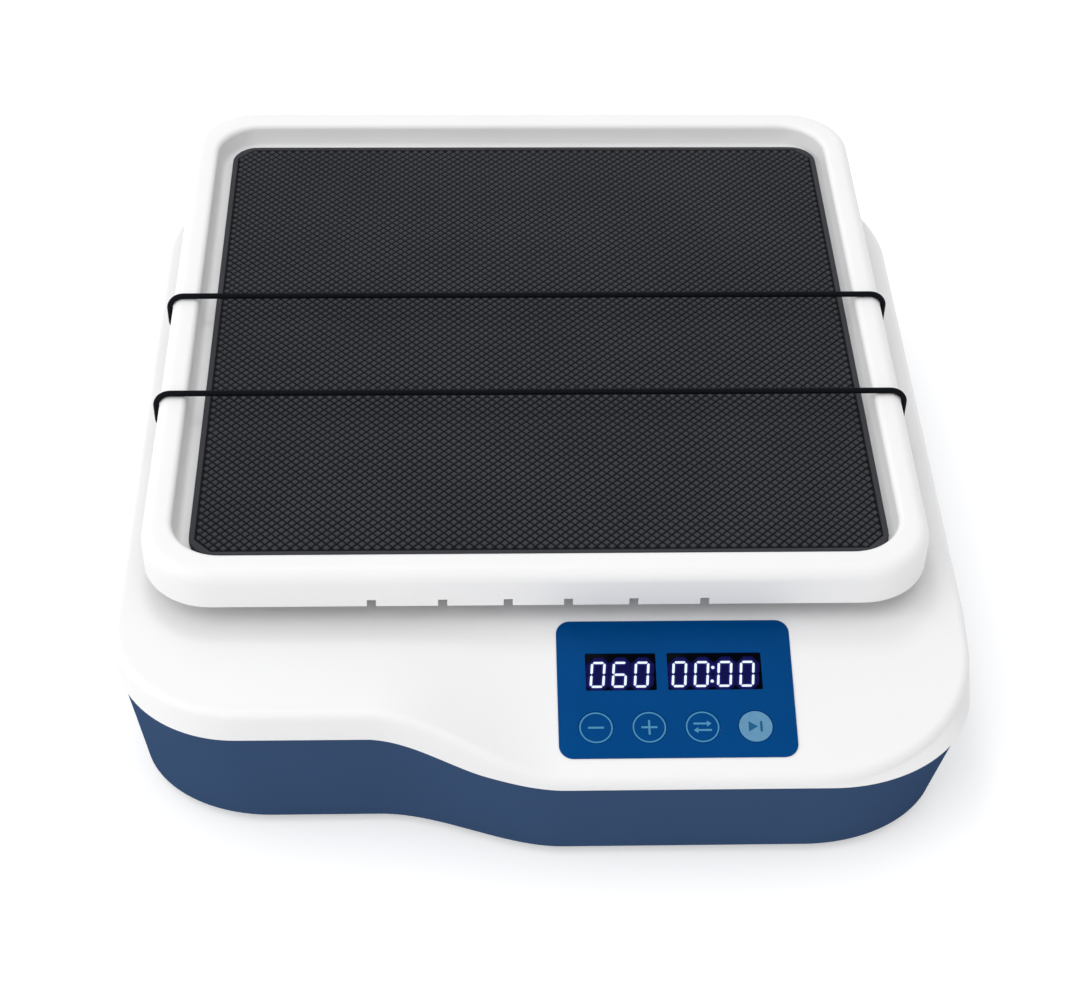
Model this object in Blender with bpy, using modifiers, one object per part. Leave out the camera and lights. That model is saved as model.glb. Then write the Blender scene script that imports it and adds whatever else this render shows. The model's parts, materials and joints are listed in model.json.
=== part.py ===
"""Bench-top linear shaker: a tray that slides left and right on two guide rods, driven by a
crank under it, over a low two-part housing with a sloping control console at the right front.

Metres, +Z up, the front faces -Y. The origin is on the floor under the middle of the whole
shaker. Places are written from the middle of the tray, which the frame empty carries.
"""
import bpy
import bmesh
from math import acos, cos, pi, radians, sin, sqrt, tan
from mathutils import Matrix, Vector

# Clearances
gap = 0.0003
overrun = 0.002
merge = 0.000001

# Housing plan, measured from the middle of the tray
body_half_width = 0.160
front_reach = 0.2134
left_front_reach = 0.1970
rear_reach = 0.140
left_corner_width = 0.052
left_corner_depth = 0.048
right_corner_width = 0.063
right_corner_depth = 0.0524
rear_corner = 0.065
wave_left_x = -0.064
wave_right_x = 0.008

# Housing heights and walls
foot_height = 0.004
deck_height = 0.0645
side_band_height = 0.013
console_angle = radians(16.0)
console_break = 0.149
console_blend = 0.003
seam_share = 0.57
deck_edge_radius = 0.003
cover_wall = 0.0022
cover_overhang = 0.0025
base_wall = 0.003
base_edge_radius = 0.002
tongue_height = 0.0015

# Tray
tray_width = 0.302
tray_corner = 0.027
tray_height = 0.0161
tray_deck_clearance = 0.0089
tray_wall = 0.0024
tray_outer_radius = 0.005
tray_inner_radius = 0.0025
tray_rim_width = 0.0124
recess_draft = 0.0021
notch_width = 0.0038
notch_height = 0.0039
front_notch_places = (0.0112, 0.0355, 0.0619)
side_notch_places = (0.012, 0.031, 0.050)
mat_edge_clearance = 0.004
mat_corner = 0.015
mat_depth = 0.0075
mat_thickness = 0.0025
mat_bevel = 0.0006

# Holding cords
cord_radius = 0.0012
bead_radius = 0.0024
rear_cord_y = 0.012
front_cord_y = -0.050

# Carriage and guide
stroke_half = 0.010
post_end_inset = 0.015
post_y = 0.050
post_radius = 0.007
slot_side_clearance = 0.0015
collar_wall = 0.0022
collar_height = 0.004
rod_y = 0.060
rod_z = 0.033
rod_radius = 0.004
rod_end_reach = 0.005
support_end_inset = 0.042
support_thickness = 0.014
support_half_depth = 0.078
support_top = 0.042
bush_radius = 0.0075
bush_length = 0.024
bush_end_inset = 0.001
block_end_clearance = 0.013
block_half_depth = 0.012
carriage_end_reach = 0.010
carriage_depth = 0.150
carriage_bottom = 0.043
carriage_thickness = 0.004
carriage_corner = 0.006
tray_screw_radius = 0.0023
tray_screw_head = 0.0050
tray_screw_length = 0.014

# Crank drive
crank_radius = 0.010
crank_shaft_radius = 0.004
crank_pin_radius = 0.003
roller_radius = 0.008
large_pulley_radius = 0.030
small_pulley_radius = 0.010
pulley_flange = 0.0016
pulley_flange_thickness = 0.0014
pulley_bottom = 0.0156
pulley_top = 0.0234
belt_thickness = 0.0014
motor_y = -0.115
motor_width = 0.042
motor_deck_clearance = 0.0037
motor_bevel = 0.004
motor_pilot_radius = 0.011
motor_shaft_radius = 0.0025
bracket_width = 0.060
bracket_depth = 0.056
bracket_thickness = 0.002
bracket_top = 0.0303
housing_radius = 0.015
housing_flange_radius = 0.023
housing_bottom = 0.0080
housing_flange_thickness = 0.0026
bearing_radius = 0.011

# Chassis and fasteners
chassis_side_inset = 0.013
chassis_front_inset = 0.050
chassis_rear_inset = 0.052
chassis_bottom = 0.010
chassis_thickness = 0.002
chassis_corner = 0.010
pillar_side_inset = 0.009
pillar_front_inset = 0.019
pillar_rear_inset = 0.012
pillar_radius = 0.005
boss_radius = 0.006
screw_radius = 0.0013
screw_head_radius = 0.0031
screw_head_height = 0.0020
screw_reach = 0.012
foot_side_inset = 0.038
foot_front_inset = 0.042
foot_rear_inset = 0.042
foot_radius = 0.009
foot_bevel = 0.0008
foot_bolt_radius = 0.0018

# Console panel, along the slope from its upper edge
panel_x = 0.0488
panel_width = 0.0872
panel_length = 0.0558
panel_top_v = -0.0020
panel_corner = 0.0052
panel_proud = 0.0005
panel_thickness = 0.0010
window_v = -0.0231
window_height = 0.0153
speed_window_u = -0.0200
speed_window_width = 0.0262
time_window_u = 0.0148
time_window_width = 0.0350
display_margin = 0.0003
display_sink = 0.0003
key_v = -0.0457
key_first_u = -0.02995
key_pitch = 0.0195
key_radius = 0.00645
key_gap = 0.00015
key_thickness = 0.0005
key_sink = 0.00005
key_travel = 0.0004
key_stem_radius = 0.0018
board_width = 0.084
board_length = 0.046
board_v = -0.033
board_thickness = 0.0016
board_depth = 0.0123
board_boss_u = 0.0385
board_boss_v = 0.015
board_boss_radius = 0.003

# Rear wall fittings
rear_fitting_z = 0.026
inlet_x = -0.060
inlet_flange_radius = 0.0075
inlet_flange_thickness = 0.0015
inlet_barrel_radius = 0.0055
inlet_bore_radius = 0.00325
inlet_pin_radius = 0.00105
inlet_bore_depth = 0.0110
inlet_pin_depth = 0.0022
inlet_length = 0.018
switch_x = -0.018
switch_flange_width = 0.0225
switch_flange_height = 0.0165
switch_flange_thickness = 0.0015
switch_body_width = 0.0190
switch_body_height = 0.0130
switch_body_depth = 0.017
rocker_radius = 0.0074
rocker_height = 0.0102
rocker_side_clearance = 0.0005
rocker_dish = 0.0006
rocker_tilt = radians(10.0)
cable_radius = 0.002
cable_side_inset = 0.016
cable_exit_depth = 0.0126

# Values worked out from the sizes above
frame_y = (front_reach - tray_width / 2) / 2
console_slope = tan(console_angle)
seam_height = deck_height - side_band_height
underside = deck_height - cover_wall
floor_top = foot_height + base_wall
skirt_bottom = deck_height + tray_deck_clearance
tray_top = skirt_bottom + tray_height
mat_top = tray_top - mat_depth
mat_bottom = mat_top - mat_thickness
tray_floor = mat_bottom - gap
recess_top_width = tray_width - 2 * tray_rim_width
recess_floor_width = recess_top_width - 2 * recess_draft
mat_width = recess_floor_width - 2 * mat_edge_clearance
chassis_half_width = body_half_width - chassis_side_inset
chassis_front = chassis_front_inset - left_front_reach
chassis_rear = rear_reach - chassis_rear_inset
chassis_top = chassis_bottom + chassis_thickness
pillar_x = chassis_half_width - pillar_side_inset
pillar_front_y = chassis_front + pillar_front_inset
pillar_rear_y = chassis_rear - pillar_rear_inset
foot_x = body_half_width - foot_side_inset
foot_front_y = foot_front_inset - left_front_reach
foot_rear_y = rear_reach - foot_rear_inset
support_x = chassis_half_width - support_end_inset
rod_length = 2 * (support_x + rod_end_reach)
block_length = 2 * (support_x - support_thickness / 2 - stroke_half - block_end_clearance)
bush_x = (block_length - bush_length) / 2 - bush_end_inset
carriage_length = block_length + 2 * carriage_end_reach
post_x = carriage_length / 2 - post_end_inset
carriage_top = carriage_bottom + carriage_thickness
motor_top = underside - motor_deck_clearance
rear_wall_outer = rear_reach - cover_overhang
panel_middle_v = panel_top_v - panel_length / 2
recess_depth = panel_thickness - panel_proud + gap
slot_length = 2 * (post_radius + stroke_half + slot_side_clearance)
slot_width = 2 * (post_radius + slot_side_clearance)

# The carriage moves in step with the crank's angle, and the crank's pin runs ahead of it by
# this share of its throw at the most: the largest value of sin(a) - 2a/pi
crank_lag_share = sin(acos(2 / pi)) - 2 / pi * acos(2 / pi)

# Counts and shares, not lengths
body_corner_steps = 7
corner_steps = 4
edge_steps = 3
small_steps = 12
round_steps = 20
fine_steps = 28
wave_steps = 10
key_count = 4
hook_steps = 4
rim_steps = 6
motor_cable_steps = 4
power_cable_steps = 3
side_shares = (0.94, 0.80, 0.45)
console_front_shares = (0.33, 0.67)
floor_ring_shares = (0.08, 0.35, 0.62, 0.85)
deck_ring_shares = (0.30, 0.60, 0.87, 0.95, 1.0)
middle_width_share = 0.81
middle_front = 0.143
middle_front_share = 0.23
middle_rear_share = 0.80


def clear_scene():
    for obj in list(bpy.data.objects):
        bpy.data.objects.remove(obj)


clear_scene()
scene_root = bpy.context.scene.collection
parts = bpy.data.collections.new("linear_shaker")
cutters = bpy.data.collections.new("cutters")
scene_root.children.link(parts)
scene_root.children.link(cutters)


def empty(name, location, rotation=(0, 0, 0), parent=None):
    obj = bpy.data.objects.new(name, None)
    obj.location = location
    obj.rotation_euler = rotation
    obj.parent = parent
    parts.objects.link(obj)
    return obj


frame = empty("frame", (0, frame_y, 0))
carriage_axis = empty("carriage_axis", (0, 0, rod_z), parent=frame)
crank_axis = empty("crank_axis", (0, 0, 0), parent=frame)
motor_axis = empty("motor_axis", (0, motor_y, 0), parent=frame)
console = empty("console_plane", (panel_x, -console_break, deck_height), (console_angle, 0, 0), frame)


def material(name, color, roughness, metallic=0.0):
    made = bpy.data.materials.new(name)
    made.use_nodes = True
    shader = made.node_tree.nodes["Principled BSDF"]
    shader.inputs["Base Color"].default_value = (*color, 1.0)
    shader.inputs["Roughness"].default_value = roughness
    shader.inputs["Metallic"].default_value = metallic
    return made


looks = {
    "white_plastic": ((0.86, 0.86, 0.87), 0.42, 0.0),
    "blue_plastic": ((0.038, 0.070, 0.140), 0.40, 0.0),
    "panel_film": ((0.003, 0.055, 0.220), 0.22, 0.0),
    "display": ((0.010, 0.008, 0.045), 0.15, 0.0),
    "key_film": ((0.003, 0.055, 0.220), 0.30, 0.0),
    "rubber": ((0.030, 0.030, 0.033), 0.75, 0.0),
    "elastic": ((0.012, 0.012, 0.014), 0.60, 0.0),
    "black_plastic": ((0.020, 0.020, 0.022), 0.45, 0.0),
    "steel": ((0.56, 0.56, 0.58), 0.32, 1.0),
    "aluminium": ((0.72, 0.72, 0.74), 0.38, 1.0),
    "zinc_plate": ((0.60, 0.61, 0.63), 0.45, 1.0),
    "circuit_board": ((0.020, 0.120, 0.050), 0.50, 0.0),
}


def add(name, mesh, look, location=(0, 0, 0), parent=frame, rotation=(0, 0, 0)):
    """Links a mesh as a sub-part, with a material of its own."""
    obj = bpy.data.objects.new(name, mesh)
    obj.location = location
    obj.rotation_euler = rotation
    obj.parent = parent
    mesh.materials.clear()
    mesh.materials.append(material(name + "_" + look, *looks[look]))
    parts.objects.link(obj)
    return obj


def tool(obj):
    """Makes an object a cutter or a guide that Booleans use and the model leaves out."""
    for owner in list(obj.users_collection):
        owner.objects.unlink(obj)
    cutters.objects.link(obj)
    obj.hide_render = True
    obj.display_type = "WIRE"
    return obj


def combine(obj, other, operation):
    step = obj.modifiers.new(other.name, "BOOLEAN")
    step.operation = operation
    step.solver = "EXACT"
    step.object = tool(other)


def cut(obj, other):
    combine(obj, other, "DIFFERENCE")


def join(obj, other):
    combine(obj, other, "UNION")


def shade(mesh, angle=radians(35.0)):
    mesh.shade_smooth()
    mesh.set_sharp_from_angle(angle=angle)


def mesh_of(bm, name):
    mesh = bpy.data.meshes.new(name)
    bm.to_mesh(mesh)
    bm.free()
    return mesh


def box(name, size, centre, look, bevel=0.0, parent=frame, rotation=(0, 0, 0)):
    bm = bmesh.new()
    bmesh.ops.create_cube(bm, size=1.0)
    bmesh.ops.scale(bm, vec=size, verts=bm.verts)
    obj = add(name, mesh_of(bm, name), look, centre, parent, rotation)
    if bevel:
        round_edges(obj, bevel)
    return obj


def round_edges(obj, width, segments=2):
    step = obj.modifiers.new("rounded", "BEVEL")
    step.width = width
    step.segments = segments
    step.limit_method = "ANGLE"


def cylinder(name, radius, low, high, at, look, parent=frame, steps=round_steps, rotation=(0, 0, 0)):
    """A straight cylinder from low to high along its own Z, standing at the place given."""
    bm = bmesh.new()
    bmesh.ops.create_cone(bm, cap_ends=True, segments=steps, radius1=radius, radius2=radius,
                          depth=high - low)
    bmesh.ops.translate(bm, vec=(0, 0, (low + high) / 2), verts=bm.verts)
    mesh = mesh_of(bm, name)
    shade(mesh)
    return add(name, mesh, look, at, parent, rotation)


def turned(name, profile, at, look, parent=frame, steps=round_steps, rotation=(0, 0, 0)):
    """A profile of (radius, height) points, run down its outer side, turned about its own Z."""
    closed = profile[0][0] > 0 and profile[-1][0] > 0
    bm = bmesh.new()
    points = [bm.verts.new((radius, 0, height)) for radius, height in profile]
    pairs = list(zip(points, points[1:]))
    if closed:
        pairs.append((points[-1], points[0]))
    for first, second in pairs:
        bm.edges.new((first, second))
    obj = add(name, mesh_of(bm, name), look, at, parent, rotation)
    step = obj.modifiers.new("turned", "SCREW")
    step.steps = steps
    step.render_steps = steps
    step.use_merge_vertices = True
    step.merge_threshold = merge
    step.use_smooth_shade = True
    return obj


def curve_to_mesh(curve, look, name, location, parent, rotation=(0, 0, 0)):
    """Turns a curve into a closed mesh, with its loose caps welded, and drops the curve."""
    guide = bpy.data.objects.new(name + "_guide", curve)
    cutters.objects.link(guide)
    evaluated = guide.evaluated_get(bpy.context.evaluated_depsgraph_get())
    mesh = bpy.data.meshes.new_from_object(evaluated)
    mesh.name = name
    bpy.data.objects.remove(guide)
    bm = bmesh.new()
    bm.from_mesh(mesh)
    bmesh.ops.remove_doubles(bm, verts=bm.verts, dist=merge)
    bmesh.ops.recalc_face_normals(bm, faces=bm.faces)
    bm.to_mesh(mesh)
    bm.free()
    return add(name, mesh, look, location, parent, rotation)


def plate(name, outlines, low, high, look, at=(0, 0, 0), parent=frame, rotation=(0, 0, 0)):
    """A flat plate from low to high along its own Z. Outlines after the first are holes."""
    curve = bpy.data.curves.new(name, "CURVE")
    curve.dimensions = "2D"
    curve.fill_mode = "BOTH"
    curve.extrude = (high - low) / 2
    for outline in outlines:
        spline = curve.splines.new("POLY")
        spline.points.add(len(outline) - 1)
        for point, (x, y) in zip(spline.points, outline):
            point.co = (x, y, 0, 1)
        spline.use_cyclic_u = True
    obj = curve_to_mesh(curve, look, name, at, parent, rotation)
    obj.data.transform(Matrix.Translation((0, 0, (low + high) / 2)))
    return obj


def wire(name, points, radius, look, bevel_resolution=1):
    curve = bpy.data.curves.new(name, "CURVE")
    curve.dimensions = "3D"
    curve.bevel_depth = radius
    curve.bevel_resolution = bevel_resolution
    curve.use_fill_caps = True
    spline = curve.splines.new("POLY")
    spline.points.add(len(points) - 1)
    for point, place in zip(spline.points, points):
        point.co = (*place, 1)
    obj = curve_to_mesh(curve, look, name, (0, 0, 0), frame)
    shade(obj.data)
    return obj


def circle(radius, x=0.0, y=0.0, steps=round_steps):
    return [(x + radius * cos(2 * pi * k / steps), y + radius * sin(2 * pi * k / steps))
            for k in range(steps)]


def arc(x, y, radius_x, radius_y, start, end, steps):
    """Points and outward directions along a quarter of an ellipse, angles in degrees."""
    found = []
    for k in range(steps + 1):
        angle = radians(start + (end - start) * k / steps)
        out = Vector((cos(angle) / radius_x, sin(angle) / radius_y)).normalized()
        found.append((Vector((x + radius_x * cos(angle), y + radius_y * sin(angle))), out))
    return found


def rounded_rect(width, depth, radius, x=0.0, y=0.0, steps=corner_steps):
    right, top = width / 2 - radius, depth / 2 - radius
    outline = []
    for corner, (cx, cy) in enumerate(((right, top), (-right, top), (-right, -top), (right, -top))):
        for place, _ in arc(x + cx, y + cy, radius, radius, 90 * corner, 90 * corner + 90, steps):
            outline.append((place.x, place.y))
    return outline


def stadium(length, width, x=0.0, y=0.0, steps=corner_steps):
    """A slot outline with round ends, its length along X."""
    end = (length - width) / 2
    right = arc(x + end, y, width / 2, width / 2, -90, 90, steps)
    left = arc(x - end, y, width / 2, width / 2, 90, 270, steps)
    return [(place.x, place.y) for place, _ in right + left]


def loft(rings):
    """Walls between rings of equal count, and the rows of points for closing an end."""
    bm = bmesh.new()
    rows = [[bm.verts.new(point) for point in ring] for ring in rings]
    count = len(rings[0])
    for lower, upper in zip(rows, rows[1:]):
        for k in range(count):
            after = (k + 1) % count
            bm.faces.new((lower[k], lower[after], upper[after], upper[k]))
    return bm, rows


def shell(obj, thickness):
    step = obj.modifiers.new("wall", "SOLIDIFY")
    step.thickness = thickness
    step.offset = -1.0
    step.use_even_offset = True
    step.use_rim = True


# Plan outline of the housing, anticlockwise from the right-hand side

def wave_share(x):
    """0 on the left, 1 over the console at the right, with a smooth step between."""
    share = min(max((x - wave_left_x) / (wave_right_x - wave_left_x), 0.0), 1.0)
    return share * share * (3 - 2 * share)


def front_line(x):
    return -(left_front_reach + (front_reach - left_front_reach) * wave_share(x))


def body_outline():
    """Points on the housing's plan outline with their outward directions."""
    right_start = -front_reach + right_corner_depth
    left_start = -left_front_reach + left_corner_depth
    rear_start = rear_reach - rear_corner
    inner = body_half_width - rear_corner
    points = []
    for share in reversed(side_shares):
        points.append((Vector((body_half_width, right_start * share + rear_start * (1 - share))),
                       Vector((1, 0))))
    points = points[::-1]
    points += arc(inner, rear_start, rear_corner, rear_corner, 0, 90, body_corner_steps)
    points += arc(-inner, rear_start, rear_corner, rear_corner, 90, 180, body_corner_steps)
    for share in reversed(side_shares):
        points.append((Vector((-body_half_width, left_start * share + rear_start * (1 - share))),
                       Vector((-1, 0))))
    points += arc(left_corner_width - body_half_width, left_start, left_corner_width,
                  left_corner_depth, 180, 270, body_corner_steps)
    for k in range(wave_steps + 1):
        x = wave_left_x + (wave_right_x - wave_left_x) * k / wave_steps
        step = (wave_right_x - wave_left_x) / wave_steps
        along = Vector((2 * step, front_line(x + step) - front_line(x - step))).normalized()
        points.append((Vector((x, front_line(x))), Vector((along.y, -along.x))))
    corner_x = body_half_width - right_corner_width
    for share in console_front_shares:
        points.append((Vector((wave_right_x + (corner_x - wave_right_x) * share, -front_reach)),
                       Vector((0, -1))))
    points += arc(corner_x, right_start, right_corner_width, right_corner_depth, 270, 360,
                  body_corner_steps)
    return points


outline = body_outline()


def deck_drop(x, y):
    """How far the deck lies below its flat part: the console slopes down at the right front."""
    past = -console_break - y
    eased = (past + sqrt(past * past + console_blend * console_blend)) / 2
    return wave_share(x) * console_slope * max(eased, 0.0)


def deck_z(x, y):
    return deck_height - deck_drop(x, y)


def seam_z(x, y):
    return seam_height - seam_share * deck_drop(x, y)


def ring(inset, height, drop=0.0):
    """A ring round the housing, set in from the plan outline, at a height that x and y give."""
    points = []
    for place, out in outline:
        spot = place - out * inset
        points.append(Vector((spot.x, spot.y, height(place.x, place.y) - drop)))
    return points


def level_ring(inset, height):
    return ring(inset, lambda x, y: height)


def floor_rings(inset, height):
    """Flat rings of a floor, from a small one in its middle out to its edge."""
    edge = level_ring(inset, height)
    rings = [[Vector((p.x * share, p.y * share, height)) for p in edge]
             for share in floor_ring_shares]
    return rings + [edge]


def build_base():
    """The blue tub: floor and walls in one closed skin, with bosses for the pillar screws."""
    turn = base_edge_radius
    outer = cover_overhang
    inner = cover_overhang + base_wall
    rings = floor_rings(inner + turn, floor_top)
    for k in range(1, edge_steps + 1):
        angle = pi / 2 * k / edge_steps
        rings.append(level_ring(inner + turn * (1 - sin(angle)), floor_top + turn * (1 - cos(angle))))
    rings.append(ring(inner, lambda x, y: seam_z(x, y) + tongue_height))
    rings.append(ring(outer, lambda x, y: seam_z(x, y) + tongue_height))
    for k in range(edge_steps):
        angle = pi / 2 * k / edge_steps
        rings.append(level_ring(outer + turn * (1 - cos(angle)), foot_height + turn * (1 - sin(angle))))
    rings += reversed(floor_rings(outer + turn, foot_height))
    bm, rows = loft(rings)
    bm.faces.new(list(reversed(rows[0])))
    bm.faces.new(rows[-1])
    bmesh.ops.recalc_face_normals(bm, faces=bm.faces)
    mesh = mesh_of(bm, "base_shell")
    shade(mesh)
    obj = add("base_shell", mesh, "blue_plastic")
    for name, (x, y) in pillar_places().items():
        boss = cylinder("base_boss_" + name, boss_radius, foot_height + base_wall / 2,
                        chassis_bottom - gap, (x, y, 0), "blue_plastic",
                        steps=small_steps)
        join(obj, boss)
    for name, (x, y) in pillar_places().items():
        way = cylinder("base_screw_way_" + name, screw_radius + gap, foot_height - overrun,
                       chassis_bottom + overrun, (x, y, 0), "steel", steps=small_steps)
        cut(obj, way)
        head = cylinder("base_head_way_" + name, screw_head_radius + gap, foot_height - overrun,
                        foot_height + screw_head_height + 2 * gap, (x, y, 0), "steel",
                        steps=small_steps)
        cut(obj, head)
    for name, (x, y) in foot_places().items():
        way = cylinder("foot_bolt_way_" + name, foot_bolt_radius + gap, foot_height - overrun,
                       floor_top + overrun, (x, y, 0), "steel", steps=small_steps)
        cut(obj, way)
    inlet = cylinder("inlet_way", inlet_barrel_radius + gap, -base_wall - overrun, overrun,
                     (inlet_x, rear_wall_outer, rear_fitting_z), "steel", rotation=(-pi / 2, 0, 0))
    cut(obj, inlet)
    switch = box("switch_way", (switch_body_width + 2 * gap, base_wall + 2 * overrun,
                                switch_body_height + 2 * gap),
                 (switch_x, rear_wall_outer - base_wall / 2, rear_fitting_z), "steel")
    cut(obj, switch)
    return obj


def pillar_places():
    return {
        "front_left": (-pillar_x, pillar_front_y),
        "front_right": (pillar_x, pillar_front_y),
        "rear_left": (-pillar_x, pillar_rear_y),
        "rear_right": (pillar_x, pillar_rear_y),
    }


def foot_places():
    return {
        "front_left": (-foot_x, foot_front_y),
        "front_right": (foot_x, foot_front_y),
        "rear_left": (-foot_x, foot_rear_y),
        "rear_right": (foot_x, foot_rear_y),
    }


def post_places():
    return {
        "front_left": (-post_x, -post_y),
        "front_right": (post_x, -post_y),
        "rear_left": (-post_x, post_y),
        "rear_right": (post_x, post_y),
    }


def middle_place(place):
    """Where a point of the outline ends on the flat middle of the deck."""
    x = place.x * middle_width_share
    if place.y < -console_break:
        past = -console_break - place.y
        reach = front_reach - console_break
        return Vector((x, -middle_front + (reach - past) * middle_front_share))
    start = -middle_front + (front_reach - console_break) * middle_front_share
    share = (place.y + console_break) / (rear_reach + console_break)
    return Vector((x, start * (1 - share) + rear_reach * middle_rear_share * share))


def build_cover():
    """The white top cover: side band, deck with the sloping console, slots and pillars."""
    turn = deck_edge_radius
    rings = [ring(0, seam_z)]
    for k in range(edge_steps + 1):
        angle = pi / 2 * k / edge_steps
        rings.append(ring(turn * (1 - cos(angle)), deck_z, turn * (1 - sin(angle))))
    edge = ring(turn, deck_z)
    for share in deck_ring_shares:
        points = []
        for start, (place, _) in zip(edge, outline):
            end = middle_place(place)
            x = start.x * (1 - share) + end.x * share
            y = start.y * (1 - share) + end.y * share
            points.append(Vector((x, y, deck_height if share == 1.0 else deck_z(x, y))))
        rings.append(points)
    bm, rows = loft(rings)
    bm.faces.new(rows[-1])
    mesh = mesh_of(bm, "top_cover")
    shade(mesh)
    obj = add("top_cover", mesh, "white_plastic")
    shell(obj, cover_wall)
    for name, (x, y) in post_places().items():
        collar = plate("collar_" + name, [stadium(slot_length + 2 * collar_wall,
                                                  slot_width + 2 * collar_wall)],
                       deck_height - cover_wall / 2, deck_height + collar_height,
                       "white_plastic", (x, y, 0))
        join(obj, collar)
    for name, (x, y) in pillar_places().items():
        pillar = cylinder("pillar_" + name, pillar_radius, chassis_top + gap,
                          deck_height - cover_wall / 2, (x, y, 0), "white_plastic",
                          steps=small_steps)
        join(obj, pillar)
    for side in (-1, 1):
        for end in (-1, 1):
            boss = cylinder("board_boss", board_boss_radius, gap - board_depth, -cover_wall / 2,
                            (side * board_boss_u, board_v + end * board_boss_v, 0),
                            "white_plastic", console, small_steps)
            join(obj, boss)
    for name, (x, y) in post_places().items():
        slot = plate("slot_" + name, [stadium(slot_length, slot_width)], underside - overrun,
                     deck_height + collar_height + overrun, "steel", (x, y, 0))
        cut(obj, slot)
    for name, (x, y) in pillar_places().items():
        way = cylinder("pillar_screw_way_" + name, screw_radius + gap, chassis_top - overrun,
                       chassis_top + screw_reach + gap, (x, y, 0), "steel",
                       steps=small_steps)
        cut(obj, way)
    recess = plate("panel_recess", [rounded_rect(panel_width + 2 * gap, panel_length + 2 * gap,
                                                 panel_corner + gap, 0, panel_middle_v)],
                   -recess_depth, panel_proud + overrun, "steel", parent=console)
    cut(obj, recess)
    window_left = speed_window_u - speed_window_width / 2
    window_right = time_window_u + time_window_width / 2
    window = box("display_way", (window_right - window_left, window_height,
                                 2 * (cover_wall + recess_depth)),
                 ((window_left + window_right) / 2, window_v, -cover_wall), "steel",
                 parent=console)
    cut(obj, window)
    for k in range(key_count):
        way = cylinder("key_way", key_stem_radius + 2 * gap, -cover_wall - overrun, overrun,
                       (key_first_u + k * key_pitch, key_v, 0), "steel", console,
                       small_steps)
        cut(obj, way)
    return obj


def square_ring(width, corner, height):
    return [Vector((x, y, height))
            for x, y in rounded_rect(width, width, corner, steps=body_corner_steps - 1)]


def build_tray():
    """The tray: a skirt, a wide rounded rim and a recess whose floor carries the mat."""
    outer = tray_outer_radius
    inner = tray_inner_radius
    rings = [square_ring(tray_width, tray_corner, skirt_bottom)]
    for k in range(edge_steps + 1):
        angle = pi / 2 * k / edge_steps
        side = outer * (1 - cos(angle))
        rings.append(square_ring(tray_width - 2 * side, tray_corner - side,
                                 tray_top - outer * (1 - sin(angle))))
    for k in range(edge_steps + 1):
        angle = pi / 2 * k / edge_steps
        side = inner * (1 - sin(angle))
        width = recess_top_width + 2 * side
        rings.append(square_ring(width, tray_corner - (tray_width - width) / 2,
                                 tray_top - inner * (1 - cos(angle))))
    floor_corner = tray_corner - (tray_width - recess_floor_width) / 2
    rings.append(square_ring(recess_floor_width, floor_corner, tray_floor + inner / 2))
    rings.append(square_ring(recess_floor_width - inner, floor_corner - inner / 2, tray_floor))
    bm, rows = loft(rings)
    bm.faces.new(rows[-1])
    mesh = mesh_of(bm, "tray")
    shade(mesh)
    obj = add("tray", mesh, "white_plastic", (0, 0, -rod_z), carriage_axis)
    shell(obj, tray_wall)
    notch_middle = skirt_bottom + notch_height / 2 - overrun / 2
    reach = tray_width / 2
    for end in (-1, 1):
        for side in (-1, 1):
            for place in front_notch_places:
                notch = box("notch", (notch_width, 2 * tray_wall + overrun, notch_height + overrun),
                            (side * place, end * reach, notch_middle), "steel")
                cut(obj, notch)
            for place in side_notch_places:
                notch = box("notch", (2 * tray_wall + overrun, notch_width, notch_height + overrun),
                            (end * reach, side * place, notch_middle), "steel")
                cut(obj, notch)
    for name, (x, y) in post_places().items():
        way = turned("tray_screw_way_" + name, [
            (0, tray_floor + overrun),
            (tray_screw_head + gap, tray_floor + overrun),
            (tray_screw_head + gap, tray_floor - gap),
            (tray_screw_radius + gap, tray_floor - tray_wall / 2 - gap),
            (tray_screw_radius + gap, tray_floor - tray_wall - overrun),
            (0, tray_floor - tray_wall - overrun),
        ], (x, y, 0), "steel", steps=small_steps)
        cut(obj, way)
    return obj


def build_mat():
    outline_of_mat = rounded_rect(mat_width, mat_width, mat_corner, steps=body_corner_steps - 1)
    mat = plate("tray_mat", [outline_of_mat], mat_bottom, mat_top, "rubber", (0, 0, -rod_z),
                carriage_axis)
    step = mat.modifiers.new("rounded", "BEVEL")
    step.width = mat_bevel
    step.segments = 1
    step.limit_method = "ANGLE"
    step.angle_limit = radians(60.0)


def build_holding_cord(name, y):
    """An elastic cord across the rims, hooked under a notch at each side by a bead."""
    reach = tray_width / 2
    out = reach + gap + cord_radius
    corner = tray_outer_radius + gap + cord_radius
    hook = 2 * cord_radius
    hook_z = skirt_bottom + notch_height / 2
    bead_x = reach - tray_wall - gap - bead_radius
    half = [(bead_x, hook_z)]
    for k in range(hook_steps + 1):
        angle = -pi / 2 + pi / 2 * k / hook_steps
        half.append((out - hook + hook * cos(angle), hook_z + hook + hook * sin(angle)))
    for k in range(rim_steps + 1):
        angle = pi / 2 * k / rim_steps
        half.append((reach - tray_outer_radius + corner * cos(angle),
                     tray_top - tray_outer_radius + corner * sin(angle)))
    right = [Vector((x, y, z)) for x, z in half]
    left = [Vector((-x, y, z)) for x, z in reversed(half)]
    cord = wire(name, right + left, cord_radius, "elastic")
    cord.parent = carriage_axis
    cord.location = (0, 0, -rod_z)
    for side in (-1, 1):
        bm = bmesh.new()
        bmesh.ops.create_uvsphere(bm, u_segments=small_steps, v_segments=small_steps // 2,
                                  radius=bead_radius)
        bead = add("bead", mesh_of(bm, "bead"), "elastic", (side * bead_x, y, hook_z))
        join(cord, bead)


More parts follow.
